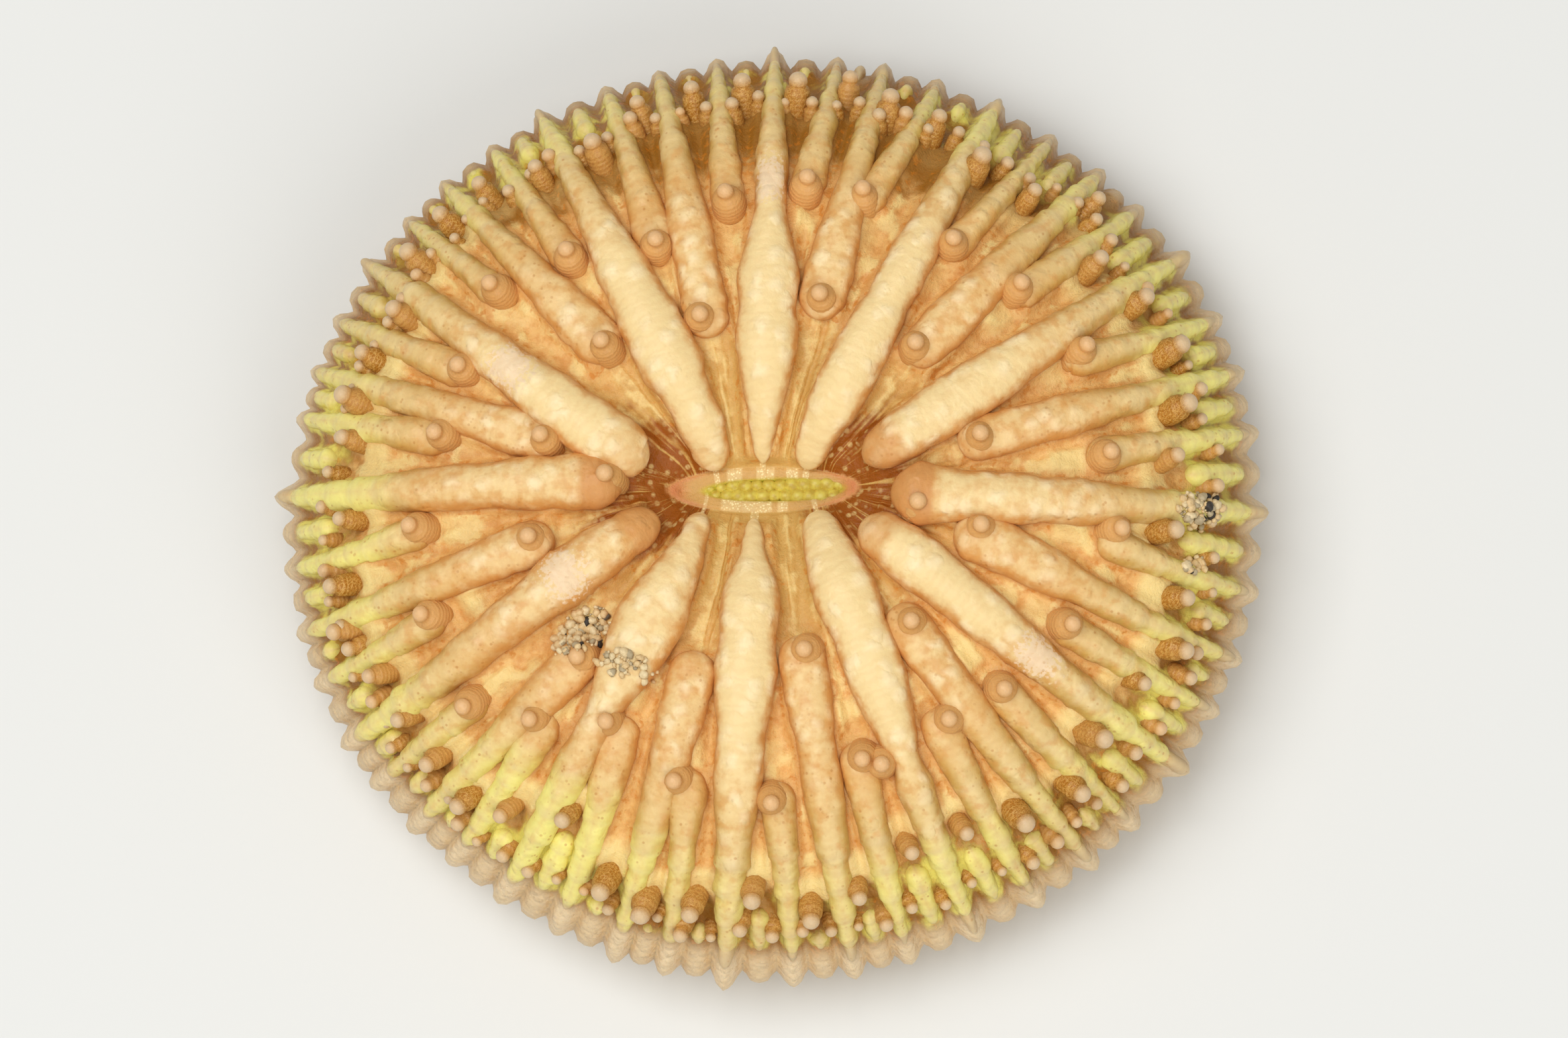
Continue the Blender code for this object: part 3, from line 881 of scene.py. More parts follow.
@dataclass(frozen=True)
class FloorFinish:
    """The flesh of the valleys with painted shade in the gutters beside the ridges, the lips and throat,
    and the beige rim and underside.
    """

    name: str = "valley_flesh"
    tan: Colour = srgb(230, 182, 110)
    olive: Colour = srgb(204, 162, 86)
    # deep is a deeper orange for random patches, and painted shade in the gutters
    deep: Colour = srgb(214, 152, 80)
    ochre: Colour = srgb(150, 96, 16)
    dot: Colour = srgb(204, 124, 34)
    pale: Colour = srgb(238, 210, 138)
    rust: Colour = srgb(150, 76, 2)
    lips: Colour = srgb(208, 162, 92)
    stripe: Colour = srgb(248, 228, 168)
    pink: Colour = srgb(212, 132, 84)
    throat: Colour = srgb(206, 196, 52)
    green: Colour = srgb(238, 224, 110)
    rim: Colour = srgb(232, 206, 164)
    rim_shade: Colour = srgb(212, 178, 128)

    def make(self) -> bpy.types.Material:
        """Builds the material.

        Returns:
            The material.
        """
        wiring = Wiring(self.name)
        spot = wiring.place()
        share, gutter_shade_and_dots = wiring.attribute("share"), wiring.attribute("gutter_shade_and_dots")
        mottle = wiring.noise(spot, 1.3, 4.0)
        fine = wiring.noise(spot, 6.0, 3.0)
        patches = wiring.noise(spot, 2.6, 3.0)
        colour = wiring.mix(wiring.ramp(patches, 0.40, 0.66, 0.0, 0.8), self.tan, self.deep)
        near_mouth = wiring.ramp(share, 0.22, 0.50, 0.85, 0.0)
        colour = wiring.mix(near_mouth, colour, self.olive)
        lumps = wiring.maths("ADD", wiring.attribute("streak"), wiring.ramp(patches, 0.3, 0.6, 0.12, -0.12))
        colour = wiring.mix(wiring.ramp(lumps, 0.05, 0.50, 0.0, 0.75), colour, self.pale)
        # Painted shade: the valley darkens to deep in the gutters along the ridges' flanks; the same mark
        # also gathers the dots in rows there
        colour = wiring.mix(wiring.ramp(gutter_shade_and_dots, 0.35, 1.0, 0.0, 0.50), colour, self.deep)
        outer = wiring.maths("ADD", share, wiring.ramp(mottle, 0.3, 0.7, -0.03, 0.03))
        colour = wiring.mix(wiring.ramp(outer, 0.83, 0.93, 0.0, 0.92), colour, self.ochre)
        dots = wiring.ramp(wiring.noise(spot, 3.6, 2.0), 0.54, 0.66)
        rows = wiring.ramp(gutter_shade_and_dots, 0.02, 0.50, 0.10, 0.62)
        colour = wiring.mix(wiring.maths("MULTIPLY", dots, rows), colour, self.dot)
        colour = wiring.mix(wiring.attribute("block"), colour, self.pale)
        rust_edge = wiring.rough_edge("rust", mottle, -0.14, 0.18)
        colour = wiring.mix(wiring.ramp(rust_edge, 0.08, 0.70, 0.0, 0.96), colour, self.rust)
        spots = wiring.ramp(wiring.cells(spot, 3.0), 0.16, 0.40, 0.50, 0.0)
        colour = wiring.mix(wiring.maths("MULTIPLY", spots, wiring.attribute("rust")), colour, self.pale)
        colour = wiring.mix(wiring.attribute("lips"), colour, self.lips)
        grain = wiring.ramp(wiring.cells(spot, 11.0), 0.2, 0.5, 1.0, 0.35)
        stripe = wiring.maths("MULTIPLY", wiring.attribute("stripe"), grain)
        colour = wiring.mix(stripe, colour, self.stripe)
        colour = wiring.mix(wiring.attribute("pink"), colour, self.pink)
        colour = wiring.mix(wiring.attribute("throat"), colour, self.throat)
        green_edge = wiring.rough_edge("green", mottle, -0.25, 0.25)
        colour = wiring.mix(wiring.ramp(green_edge, 0.3, 0.85, 0.0, 0.9), colour, self.green)
        tooth = wiring.attribute("tooth")
        # Painted shade: between the teeth the beige darkens to rim_shade, then to ochre; the tooth mark
        # runs lower along the upper edge, so it is darker there
        beige = wiring.mix(wiring.ramp(tooth, 0.20, 0.80), self.rim_shade, self.rim)
        beige = wiring.mix(wiring.ramp(tooth, 0.05, 0.38, 0.75, 0.0), beige, self.ochre)
        beige = wiring.mix(wiring.ramp(fine, 0.40, 0.75, 0.0, 0.35), beige, self.rim_shade)
        colour = wiring.mix(wiring.attribute("wall"), colour, beige)
        normal = wiring.bump(fine, 0.05 * MM)
        normal = wiring.bump(wiring.noise(spot, 16.0, 2.0), 0.02 * MM, normal)
        grains = wiring.maths("MULTIPLY", wiring.cells(spot, 3.2), wiring.attribute("wall"))
        normal = wiring.bump(grains, -0.08 * MM, normal)
        roughness = wiring.ramp(mottle, 0.3, 0.7, 0.38, 0.55)
        return wiring.finish(colour, normal, roughness=roughness, **FleshGlow().values())


@dataclass(frozen=True)
class TentacleFinish:
    """Ringed, finely speckled tentacles with a pale round tip."""

    name: str = "tentacle"
    clear: Colour = srgb(222, 168, 102)
    brown: Colour = srgb(168, 110, 34)
    net: Colour = srgb(214, 168, 92)
    knob: Colour = srgb(226, 180, 126)
    tip: Colour = srgb(214, 184, 142)
    ring: Colour = srgb(168, 100, 44)

    def make(self) -> bpy.types.Material:
        """Builds the material.

        Returns:
            The material.
        """
        wiring = Wiring(self.name)
        spot = wiring.place()
        dark = wiring.attribute("dark")
        along = wiring.node("SeparateXYZ", {"Vector": wiring.uv()}).outputs["Y"]
        ring = wiring.maths("SINE", wiring.maths("MULTIPLY", along, math.tau / 0.17))
        bent = wiring.node("VectorMath", {0: spot, 1: wiring.noise(spot, 4.0)}, operation="ADD").outputs[0]
        edges = wiring.node("TexVoronoi", {"Vector": bent, "Scale": 7.0}, feature="DISTANCE_TO_EDGE")
        lines = wiring.ramp(edges.outputs["Distance"], 0.03, 0.16, 1.0, 0.0)
        colour = wiring.mix(dark, self.clear, self.brown)
        net = wiring.maths("MULTIPLY", lines, wiring.ramp(dark, 0.0, 1.0, 0.10, 0.75))
        colour = wiring.mix(net, colour, self.net)
        rings = wiring.ramp(ring, 0.1, 1.0, 0.0, 0.18)
        broken = wiring.maths("MULTIPLY", rings, wiring.ramp(wiring.noise(spot, 5.0), 0.35, 0.65))
        colour = wiring.mix(broken, colour, self.ring)
        ball = wiring.mix(wiring.ramp(dark, 0.3, 0.7), self.knob, self.tip)
        colour = wiring.mix(wiring.attribute("knob"), colour, ball)
        plain = wiring.maths("SUBTRACT", 1.0, wiring.attribute("knob"))
        normal = wiring.bump(wiring.maths("MULTIPLY", ring, plain), 0.005 * MM)
        normal = wiring.bump(wiring.noise(spot, 12.0), 0.02 * MM, normal)
        glow = FleshGlow(weight=0.30, scale=0.40 * MM)
        return wiring.finish(colour, normal, roughness=0.36, **glow.values())


@dataclass(frozen=True)
class BeadFinish:
    """The wet yellow-green folds inside the mouth."""

    name: str = "mouth_fold"
    light: Colour = srgb(212, 194, 84)
    shade: Colour = srgb(190, 162, 62)

    def make(self) -> bpy.types.Material:
        """Builds the material.

        Returns:
            The material.
        """
        wiring = Wiring(self.name)
        spot = wiring.place()
        colour = wiring.mix(wiring.ramp(wiring.noise(spot, 4.0), 0.35, 0.65), self.light, self.shade)
        glow = FleshGlow(weight=0.25, scale=0.3 * MM)
        return wiring.finish(colour, roughness=0.30, **glow.values())


@dataclass(frozen=True)
class SandFinish:
    """Mixed grains: each takes its colour from its own value."""

    name: str = "sand_grains"
    pale: Colour = srgb(234, 212, 166)
    grey: Colour = srgb(186, 168, 132)
    dark: Colour = srgb(52, 44, 34)
    clear: Colour = srgb(228, 196, 142)

    def make(self) -> bpy.types.Material:
        """Builds the material.

        Returns:
            The material.
        """
        wiring = Wiring(self.name)
        spot = wiring.place()
        kind = wiring.attribute("kind")
        colour = wiring.mix(wiring.ramp(kind, 0.35, 0.45), self.clear, self.pale)
        colour = wiring.mix(wiring.ramp(kind, 0.66, 0.74), colour, self.grey)
        colour = wiring.mix(wiring.ramp(kind, 0.945, 0.955), colour, self.dark)
        mottle = wiring.ramp(wiring.noise(spot, 9.0, 4.0), 0.35, 0.7, 0.0, 0.3)
        colour = wiring.mix(mottle, colour, self.grey, "MULTIPLY")
        normal = wiring.bump(wiring.noise(spot, 14.0, 4.0), 0.03 * MM)
        return wiring.finish(colour, normal, roughness=0.55)


class Finish(Enum):
    """The finishes that the pieces are dressed in."""

    RIDGE = RidgeFinish()
    FLOOR = FloorFinish()
    TENTACLE = TentacleFinish()
    BEAD = BeadFinish()
    SAND = SandFinish()

    def material(self) -> bpy.types.Material:
        """The finish's material, made the first time that it is asked for."""
        made = bpy.data.materials.get(self.value.name)
        return made if made else self.value.make()


@dataclass
class Piece:
    """One finished mesh: vertices gather attributes and UVs as they are placed."""

    name: str
    finish: Finish
    marks: tuple[str, ...] = ()
    nodes: tuple[str, ...] = ("coral",)
    slot: str = "coral_flesh"
    mesh: bmesh.types.BMesh = field(default_factory=bmesh.new)

    def __post_init__(self) -> None:
        """Adds the vertex attributes that its marks name, and a UV map."""
        self.layers = {name: self.mesh.verts.layers.float.new(name) for name in self.marks}
        self.uv = self.mesh.loops.layers.uv.new("UVMap")

    def lay_uv(self, places: dict[bmesh.types.BMVert, tuple[float, float]]) -> None:
        """Writes the UV map, in millimetres, where the U and V of vertices are given.

        Args:
            places: the U and V of each vertex, in metres.
        """
        for vertex, (across, along) in places.items():
            for loop in vertex.link_loops:
                loop[self.uv].uv = (across / MM, along / MM)

    def make(self) -> bpy.types.Object:
        """Stores the mesh as an object, dresses it and puts it on the model.

        Returns:
            The object.
        """
        data = bpy.data.meshes.new(self.name)
        self.mesh.to_mesh(data)
        self.mesh.free()
        data.shade_smooth()
        data.materials.append(self.finish.material())
        made = bpy.data.objects.new(self.name, data)
        bpy.context.scene.collection.objects.link(made)
        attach(made, BODY)
        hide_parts(*self.nodes)
        LOG.info("%s: %d triangles", self.name, sum(len(face.vertices) - 2 for face in data.polygons))
        return made


def sphere_grid(
    mesh: bmesh.types.BMesh, columns: int, rows: int, slit_top: bool = False
) -> dict[bmesh.types.BMVert, tuple[int, int]]:
    """Adds a closed ball, rolled up from a flat grid, whose vertices are known by column and row.

    Args:
        mesh: the mesh to add it to.
        columns: how many vertices go round it.
        rows: how many bands lie between its poles.
        slit_top: whether the top row closes along a slit, and not in a point.

    Returns:
        The column, anticlockwise from +X, and the row, from the top, of each vertex.
    """
    flat = bmesh.ops.create_grid(mesh, x_segments=columns, y_segments=rows, size=1.0)
    grid = {}
    for vertex in flat["verts"]:
        place = (round((1 + vertex.co.x) / 2 * columns), round((1 - vertex.co.y) / 2 * rows))
        grid[place] = vertex
    joins = {}
    for (column, row), vertex in grid.items():
        if row == 0 and slit_top:
            kept = (min(column % columns, (columns - column) % columns), row)
        else:
            kept = (0 if row in (0, rows) else column % columns, row)
        if kept != (column, row):
            joins[vertex] = grid[kept]
    kept_places = {vertex: place for place, vertex in grid.items() if vertex not in joins}
    bmesh.ops.weld_verts(mesh, targetmap=joins)
    return kept_places


@dataclass(frozen=True)
class ValleySpot:
    """A place on the upper side of the disc, and what the flesh is like there.

    It lies a part of the way from the line of ridge number index to the next. The ridge nearest
    to it is number nearest, off is how far that one's line is, from 0 to half a ridge's spacing,
    and near is the distance from the nearest flank.
    """

    turn: float
    share: float
    index: int
    part: float
    nearest: int
    off: float
    near: float

    @cached_property
    def reach(self) -> float:
        """Its distance out from the slit."""
        return self.share * DISC.rim(self.turn)

    @cached_property
    def point(self) -> Vector:
        """Its place, before the flesh has any relief."""
        return DISC.floor_point(self.turn, self.share)

    @cached_property
    def endways(self) -> float:
        """How far it lies towards an end of the mouth, from 0 to 1."""
        return abs(math.cos(math.radians(self.turn)))

    @cached_property
    def rim_start(self) -> float:
        """The share at which the beige rim starts at its turn."""
        return read_knots(RIM_STARTS, self.turn % 360)

    @cached_property
    def lips(self) -> float:
        """How far out it is, against the edge of the lips."""
        return LIPS.measure(self.point)

    @cached_property
    def slit(self) -> float:
        """How far out it is, against the edge of the slit."""
        return SLIT.measure(self.point)

    @cached_property
    def on_lips(self) -> float:
        """How far it is on the lips or inside them, from 0 to 1."""
        return 1 - blend(0.96, 1.02, self.lips)

    @cached_property
    def off_lips(self) -> float:
        """How far it is clear of the lips, from 0 to 1."""
        return blend(1.0, 1.5, self.lips)

    @cached_property
    def fine_streak(self) -> float:
        """Noise that is drawn out along the ridges."""
        around = math.tau * (self.index + self.part) / RIDGE_COUNT
        across, up = 50 * math.cos(around), 50 * math.sin(around)
        return noise.noise(Vector((across, up, self.reach / MM * 0.5)))

    @cached_property
    def ribbon(self) -> float:
        """How much of a pale ribbon lies there: they run down the valleys to the mouth."""
        rank = (self.index + self.part + 0.9 * noise.noise(self.point / MM * 1.2)) % 8
        aside = min(abs(rank - 2), abs(rank - 4), abs(rank - 6)) / 0.70
        return max(0.0, 1 - aside**2) * (0.75 + 0.5 * self.fine_streak)

    @cached_property
    def streak(self) -> float:
        """How much of a ribbon or, further out, of a pale lump stands up there."""
        crowded = blend(0.60, 0.92, self.endways) * (1 - blend(1.6 * MM, 4.2 * MM, self.reach))
        streak = 0.5 * self.ribbon * self.off_lips * (1 - blend(0.36, 0.60, self.share))
        lumps = blend(-0.02, 0.36, noise.noise(self.point / MM * 1.5 + Vector((9.0, 0.0, 0.0))))
        early = 0.10 * top_side(self.turn)
        lumps *= blend(0.30, 0.45, self.share) * (1 - blend(0.84 - early, 0.90 - early, self.share))
        lumps *= blend(0.02 * MM, 0.16 * MM, self.near)
        return max(streak * (1 - 0.92 * crowded), 0.60 * lumps)

    @cached_property
    def rust(self) -> float:
        """How rusty it is: a streaked arm runs out from each end of the mouth."""
        longest = 1.5 + 5.6 * blend(0.55, 0.98, self.endways)
        out = max(self.reach - DISC.lip_reach, 0.0) / MM
        rust = blend(0.35, 0.85, self.endways) * (1 - blend(0.15 * longest, longest, out))
        return rust * (0.88 + 1.1 * self.fine_streak - 0.32 * self.ribbon) * (1 - self.on_lips)

    @cached_property
    def pink(self) -> float:
        """How pink the lips are there: at their ends, and along their edge towards the ends."""
        ends = blend(0.72, 0.95, abs(self.point.x - LIPS.middle) / LIPS.half_length)
        edge = blend(0.80, 0.97, self.lips) * blend(0.45, 0.8, abs(self.point.x) / LIPS.half_length)
        return self.on_lips * max(0.9 * ends, 0.7 * edge)

    @cached_property
    def stripe(self) -> float:
        """How much of one of the cream stripes that cross the lips lies there."""
        total = 0.0
        for middle, half in UPPER_STRIPES if self.point.y > 0 else LOWER_STRIPES:
            total = max(total, 1 - blend(0.75 * half, 1.15 * half, abs(self.point.x / MM - middle)))
        return total * self.on_lips

    @cached_property
    def root(self) -> float:
        """How much of a main ridge's pale root, which runs down to the lips, lies there."""
        if self.nearest not in POINTED:
            return 0.0
        aside = math.radians(360 / RIDGE_COUNT * self.off) * DISC.spread(self.turn, self.share)
        half = 0.20 * MM + 0.12 * max(self.reach - DISC.lip_reach, 0.0)
        return 0.9 * (1 - blend(0.7 * half, half, aside)) * (1 - blend(2.0 * MM, 2.6 * MM, self.reach))

    @cached_property
    def green(self) -> float:
        """How yellow-green it is, most against the flanks near the rim."""
        green = 0.86 * greenness(self.turn) * blend(0.82, 0.90, self.share)
        return green * (1 - 0.5 * blend(0.0, 0.22 * MM, self.near))


@dataclass
class Floor:
    """The disc itself: valleys, lips, throat, toothed rim and ribbed underside."""

    columns_per_ridge: int = 8
    mouth_rows: int = 16
    fossa_rows: int = 9
    valley_rows: int = 46
    wall_rows: int = 17
    lower_rows: int = 15
    base_rows: int = 13
    wall_share: float = 0.925
    teeth: tuple[float, float, float, float] = (0.85 * MM, 0.76 * MM, 0.70 * MM, 0.50 * MM)
    notch: float = 0.34 * MM
    fillet_height: float = 0.34 * MM
    fillet_width: float = 0.20 * MM
    block_height: float = 0.28 * MM
    streak_height: float = 0.26 * MM
    # gutter_width: how far from a flank the gutter mark's painted shade and rows of dots reach
    gutter_width: float = 0.18 * MM
    roughness: float = 0.06 * MM
    crease_depth: float = 0.10 * MM
    slit_depth: float = 0.45 * MM
    base_groove: float = 0.10 * MM
    base_dimple: float = 0.04 * MM
    seed: int = 7

    def levels(self) -> list[tuple[str, float]]:
        """The rows from mouth to base: the part of the disc, and a share or an angle in degrees.

        Returns:
            Each row's part, which is top, under or base, with its value.
        """
        rim = DISC.rim(90.0)
        mouth_end, fossa_end = 1.1 * MM / rim, 3.2 * MM / rim
        rows = [("top", mouth_end * row / self.mouth_rows) for row in range(self.mouth_rows)]
        rows += [
            ("top", mouth_end + (fossa_end - mouth_end) * row / self.fossa_rows)
            for row in range(self.fossa_rows)
        ]
        rows += [
            ("top", fossa_end + (self.wall_share - fossa_end) * row / self.valley_rows)
            for row in range(self.valley_rows)
        ]
        start = math.degrees(math.asin(self.wall_share**2))
        rows += [
            ("top", math.sqrt(math.sin(math.radians(start + (90 - start) * row / self.wall_rows))))
            for row in range(self.wall_rows)
        ]
        rows += [("under", 90 + 90 * row / self.lower_rows) for row in range(self.lower_rows)]
        rows += [("base", 1 - row / self.base_rows) for row in range(self.base_rows + 1)]
        return rows

    def blocks(self) -> dict[int, tuple[float, float, float]]:
        """The pale blocks in the valleys: middle share, half length and strength by ridge index.

        Returns:
            The three values of each block.
        """
        picker = random.Random(self.seed)
        found = {}
        for number, (turn, reach) in enumerate(RIM_TENTACLES):
            middle = DISC.upright(turn, (reach - 0.95) * MM, 0.2 * MM)[1]
            strength = picker.uniform(0.6, 1.0) * (1 - 0.9 * top_side(turn))
            found[2 * number + 1] = (middle, picker.uniform(0.018, 0.036), strength)
        for ridge in FAN.of_cycle(Cycle.FOURTH):
            middle = self.starts[ridge.index] - picker.uniform(0.03, 0.07)
            strength = picker.uniform(0.3, 1.0) * (1 - 0.5 * top_side(ridge.rim_turn))
            found[ridge.index] = (middle, picker.uniform(0.025, 0.045), strength)
        return found

    def build(self) -> bpy.types.Object:
        """Builds and dresses the disc.

        Returns:
            The finished piece.
        """
        rows = self.levels()
        placed = [self.row(kind, value) for kind, value in rows]
        piece = Piece("coral_disc", Finish.FLOOR, tuple(placed[0][0][1]))
        columns = self.columns_per_ridge * RIDGE_COUNT
        grid = sphere_grid(piece.mesh, columns, len(rows) - 1, slit_top=True)
        for vertex, (column, row) in grid.items():
            place, marks = placed[row][column]
            vertex.co = place
            for name, value in marks.items():
                vertex[piece.layers[name]] = value
        return piece.make()

    def row(self, kind: str, value: float) -> list[tuple[Vector, dict[str, float]]]:
        """The places and marks of one row of vertices, column by column.

        Args:
            kind: top, under or base.
            value: its share, or its angle in degrees if it is under.

        Returns:
            The place and the marks of each vertex.
        """
        share = value if kind == "top" else 1.0
        crests = [FAN.turn(index, share) for index in range(RIDGE_COUNT + 1)]
        flanks = self.flanks(share, crests)
        result = []
        for index in range(RIDGE_COUNT):
            for step in range(self.columns_per_ridge):
                part = step / self.columns_per_ridge
                turn = crests[index] * (1 - part) + crests[index + 1] * part
                off = part if part <= 0.5 else 1 - part
                nearest = index if part <= 0.5 else (index + 1) % RIDGE_COUNT
                if kind == "top":
                    aside = np.radians(np.abs(flanks[0] - turn)) * DISC.spread(turn, share)
                    near = float(np.min(aside - flanks[1]))
                    spot = ValleySpot(turn, share, index, part, nearest, off, near)
                    result.append(self.top_vertex(spot))
                elif kind == "under":
                    result.append(self.under_vertex(turn, value, nearest, off))
                else:
                    result.append(self.base_vertex(turn, value, off))
        return result

    @cached_property
    def starts(self) -> list[float]:
        """The share at which each ridge starts."""
        return [FAN.inner_share(ridge) for ridge in FAN.ridges]

    def flanks(self, share: float, crests: list[float]) -> np.ndarray:
        """The turns, over more than a full round, and half widths of the ridges at a share.

        Args:
            share: the share.
            crests: the turn of each ridge's crest there.

        Returns:
            The turns, then the half widths.
        """
        found = [(0.0, -9.0 * MM)]
        for index, ridge in enumerate(FAN.ridges):
            if share >= self.starts[index]:
                width = read_knots(FORMS[ridge.cycle].half_widths, share)
                found += [(crests[index] + round_off, width) for round_off in (-360, 0, 360)]
        return np.array(found).T

    def top_vertex(self, spot: ValleySpot) -> tuple[Vector, dict[str, float]]:
        """One vertex of the upper side: its place, and its marks by name.

        Args:
            spot: where it lies.

        Returns:
            Its place with the relief, and its marks.
        """
        block = self.block_at(spot)
        beads = 0.90 + 0.10 * math.sin(math.acos(min(spot.share, 1.0) ** 2) * 15)
        lift = self.upper_tooth(spot.nearest, spot.off, spot.turn, spot.share) * beads
        lift += self.streak_height * spot.streak + self.block_height * block
        lift += self.fillet_height * math.exp(-max(spot.near, 0.0) / self.fillet_width) * spot.off_lips
        lift += self.roughness * noise.noise(spot.point / MM * 1.7) * spot.off_lips
        lift -= self.crease_depth * math.exp(-(((spot.lips - 1.02) / 0.07) ** 2))
        lift -= self.slit_depth * (1 - blend(0.55, 1.0, spot.slit))
        wall = blend(spot.rim_start, spot.rim_start + RIM_BLEND, spot.share)
        # The share mark runs ahead along the upper edge, so that the valleys turn ochre sooner there
        marks = {
            "share": spot.share + 0.16 * top_side(spot.turn) * blend(0.50, 0.74, spot.share),
            # The gutter mark lays painted shade, and rows of dots, along the ridges' flanks
            "gutter_shade_and_dots": math.exp(-((max(spot.near, 0.0) / self.gutter_width) ** 2)) * spot.off_lips,
            "streak": spot.streak,
            "block": block,
            "rust": spot.rust,
            "lips": spot.on_lips,
            "stripe": max(spot.stripe, spot.root),
            "pink": spot.pink,
            "throat": 1 - blend(0.80, 1.02, spot.slit),
            "green": spot.green * (1 - wall),
            "tooth": self.tooth_mark(spot.nearest, spot.off, spot.turn),
            "wall": wall,
        }
        return spot.point + DISC.normal(spot.turn, spot.share) * lift, marks

    def block_at(self, spot: ValleySpot) -> float:
        """How much of a pale block lies at a place.

        Args:
            spot: the place.

        Returns:
            The amount, from 0 to 1.
        """
        most = 0.0
        after = (spot.index + 1) % RIDGE_COUNT
        for line, aside in ((spot.index, spot.part), (after, 1 - spot.part)):
            if line in self.made_blocks:
                middle, half, strength = self.made_blocks[line]
                ends = 1 - blend(0.7 * half, 1.1 * half, abs(spot.share - middle))
                most = max(most, strength * ends * (1 - blend(0.35, 0.75, aside)))
        return most

    @cached_property
    def made_blocks(self) -> dict[int, tuple[float, float, float]]:
        """The pale blocks, picked once."""
        return self.blocks()

    def upper_tooth(self, nearest: int, off: float, turn: float, share: float) -> float:
        """How far a tooth stands out above the widest line, where it rises from the flesh."""
        rim_start = read_knots(RIM_STARTS, turn % 360)
        return self.tooth(nearest, off, turn) * blend(rim_start - 0.012, 1.0, share)

    def tooth(self, nearest: int, off: float, turn: float) -> float:
        """How far the rim stands out at a place beside ridge number nearest."""
        return self.teeth[0] * self.prominence(nearest, off) * read_knots(TOOTH_SCALES, turn % 360)

    def prominence(self, nearest: int, off: float) -> float:
        """The same, as a share of the height of a main ridge's tooth.

        Args:
            nearest: the index of the ridge beside it.
            off: how far it is from that one's line, from 0 to half a ridge's spacing.

        Returns:
            The share.
        """
        height = self.teeth[FAN.ridges[nearest].cycle.value]
        ridge = 0.8 * (1 - 2 * min(off, 0.5)) + 0.2 * math.cos(math.pi * min(off, 0.5))
        return (self.notch + (height - self.notch) * ridge) / self.teeth[0]

    def tooth_mark(self, nearest: int, off: float, turn: float) -> float:
        """The same as a mark, for the painted shade in the gaps between teeth, and lower along the upper
        edge, where the gaps are darker.
        """
        return self.prominence(nearest, off) - 0.30 * blend(0.2, 0.9, math.sin(math.radians(turn)))

    def under_vertex(
        self, turn: float, degrees: float, nearest: int, off: float
    ) -> tuple[Vector, dict[str, float]]:
        """One vertex of the rim's lower quarter.

        Args:
            turn: its turn.
            degrees: its angle, from 90 at the widest line to 180 underneath.
            nearest: the index of the ridge beside it.
            off: how far it is from that one's line.

        Returns:
            Its place, and its marks by name.
        """
        angle = math.radians(degrees)
        share = DISC.base_share + (1 - DISC.base_share) * math.sin(angle)
        place = DISC.spot(turn, share * DISC.rim(turn))
        way = DISC.outward(turn, 1.0)
        fade = 1 + math.cos(angle)
        beads = 0.90 + 0.10 * math.sin(math.radians(degrees - 90) * 15)
        lift = self.tooth(nearest, off, turn) * fade * beads
        height = DISC.rim_height * fade
        lift += 0.05 * MM * noise.noise(Vector((place.x, place.y, degrees * 0.03 * MM)) / MM * 2.2) * fade
        point = Vector((place.x + way.x * lift, place.y + way.y * lift, height))
        return point, self.rim_marks(1.0, self.tooth_mark(nearest, off, turn))

    def base_vertex(self, turn: float, part: float, off: float) -> tuple[Vector, dict[str, float]]:
        """One vertex of the flat underside, grooved between the ribs that run in from the rim.

        Args:
            turn: its turn.
            part: how far out it is on the underside, from 0 to 1.
            off: how far it is from the nearest ridge's line.

        Returns:
            Its place, and its marks by name.
        """
        place = DISC.spot(turn, part * DISC.base_share * DISC.rim(turn))
        groove = self.base_groove * blend(0.12, 0.45, off)
        groove *= blend(0.25, 0.9, part) * (1 - blend(0.96, 1.0, part))
        dimple = self.base_dimple * (1 + noise.noise(Vector((place.x, place.y, 0)) / MM * 1.2))
        dimple *= 1 - blend(0.9, 1.0, part)
        return Vector((place.x, place.y, groove + dimple)), self.rim_marks(part, 0.9 - 0.5 * off)

    def rim_marks(self, share: float, tooth: float) -> dict[str, float]:
        """The marks of a vertex that is all rim.

        Args:
            share: its share.
            tooth: its tooth mark.

        Returns:
            The marks.
        """
        names = ("gutter_shade_and_dots", "streak", "block", "rust", "lips", "stripe", "pink", "throat", "green")
        marks = dict.fromkeys(names, 0.0)
        marks.update({"share": share, "tooth": tooth, "wall": 1.0})
        return marks


@dataclass(frozen=True)
class RidgeRing:
    """One ring of a ridge: where it stands, which way it faces and how big it is."""

    share: float
    along: float
    base: Vector
    sideways: Vector
    outward: Vector
    width: float
    height: float
    cap: float
    step: float


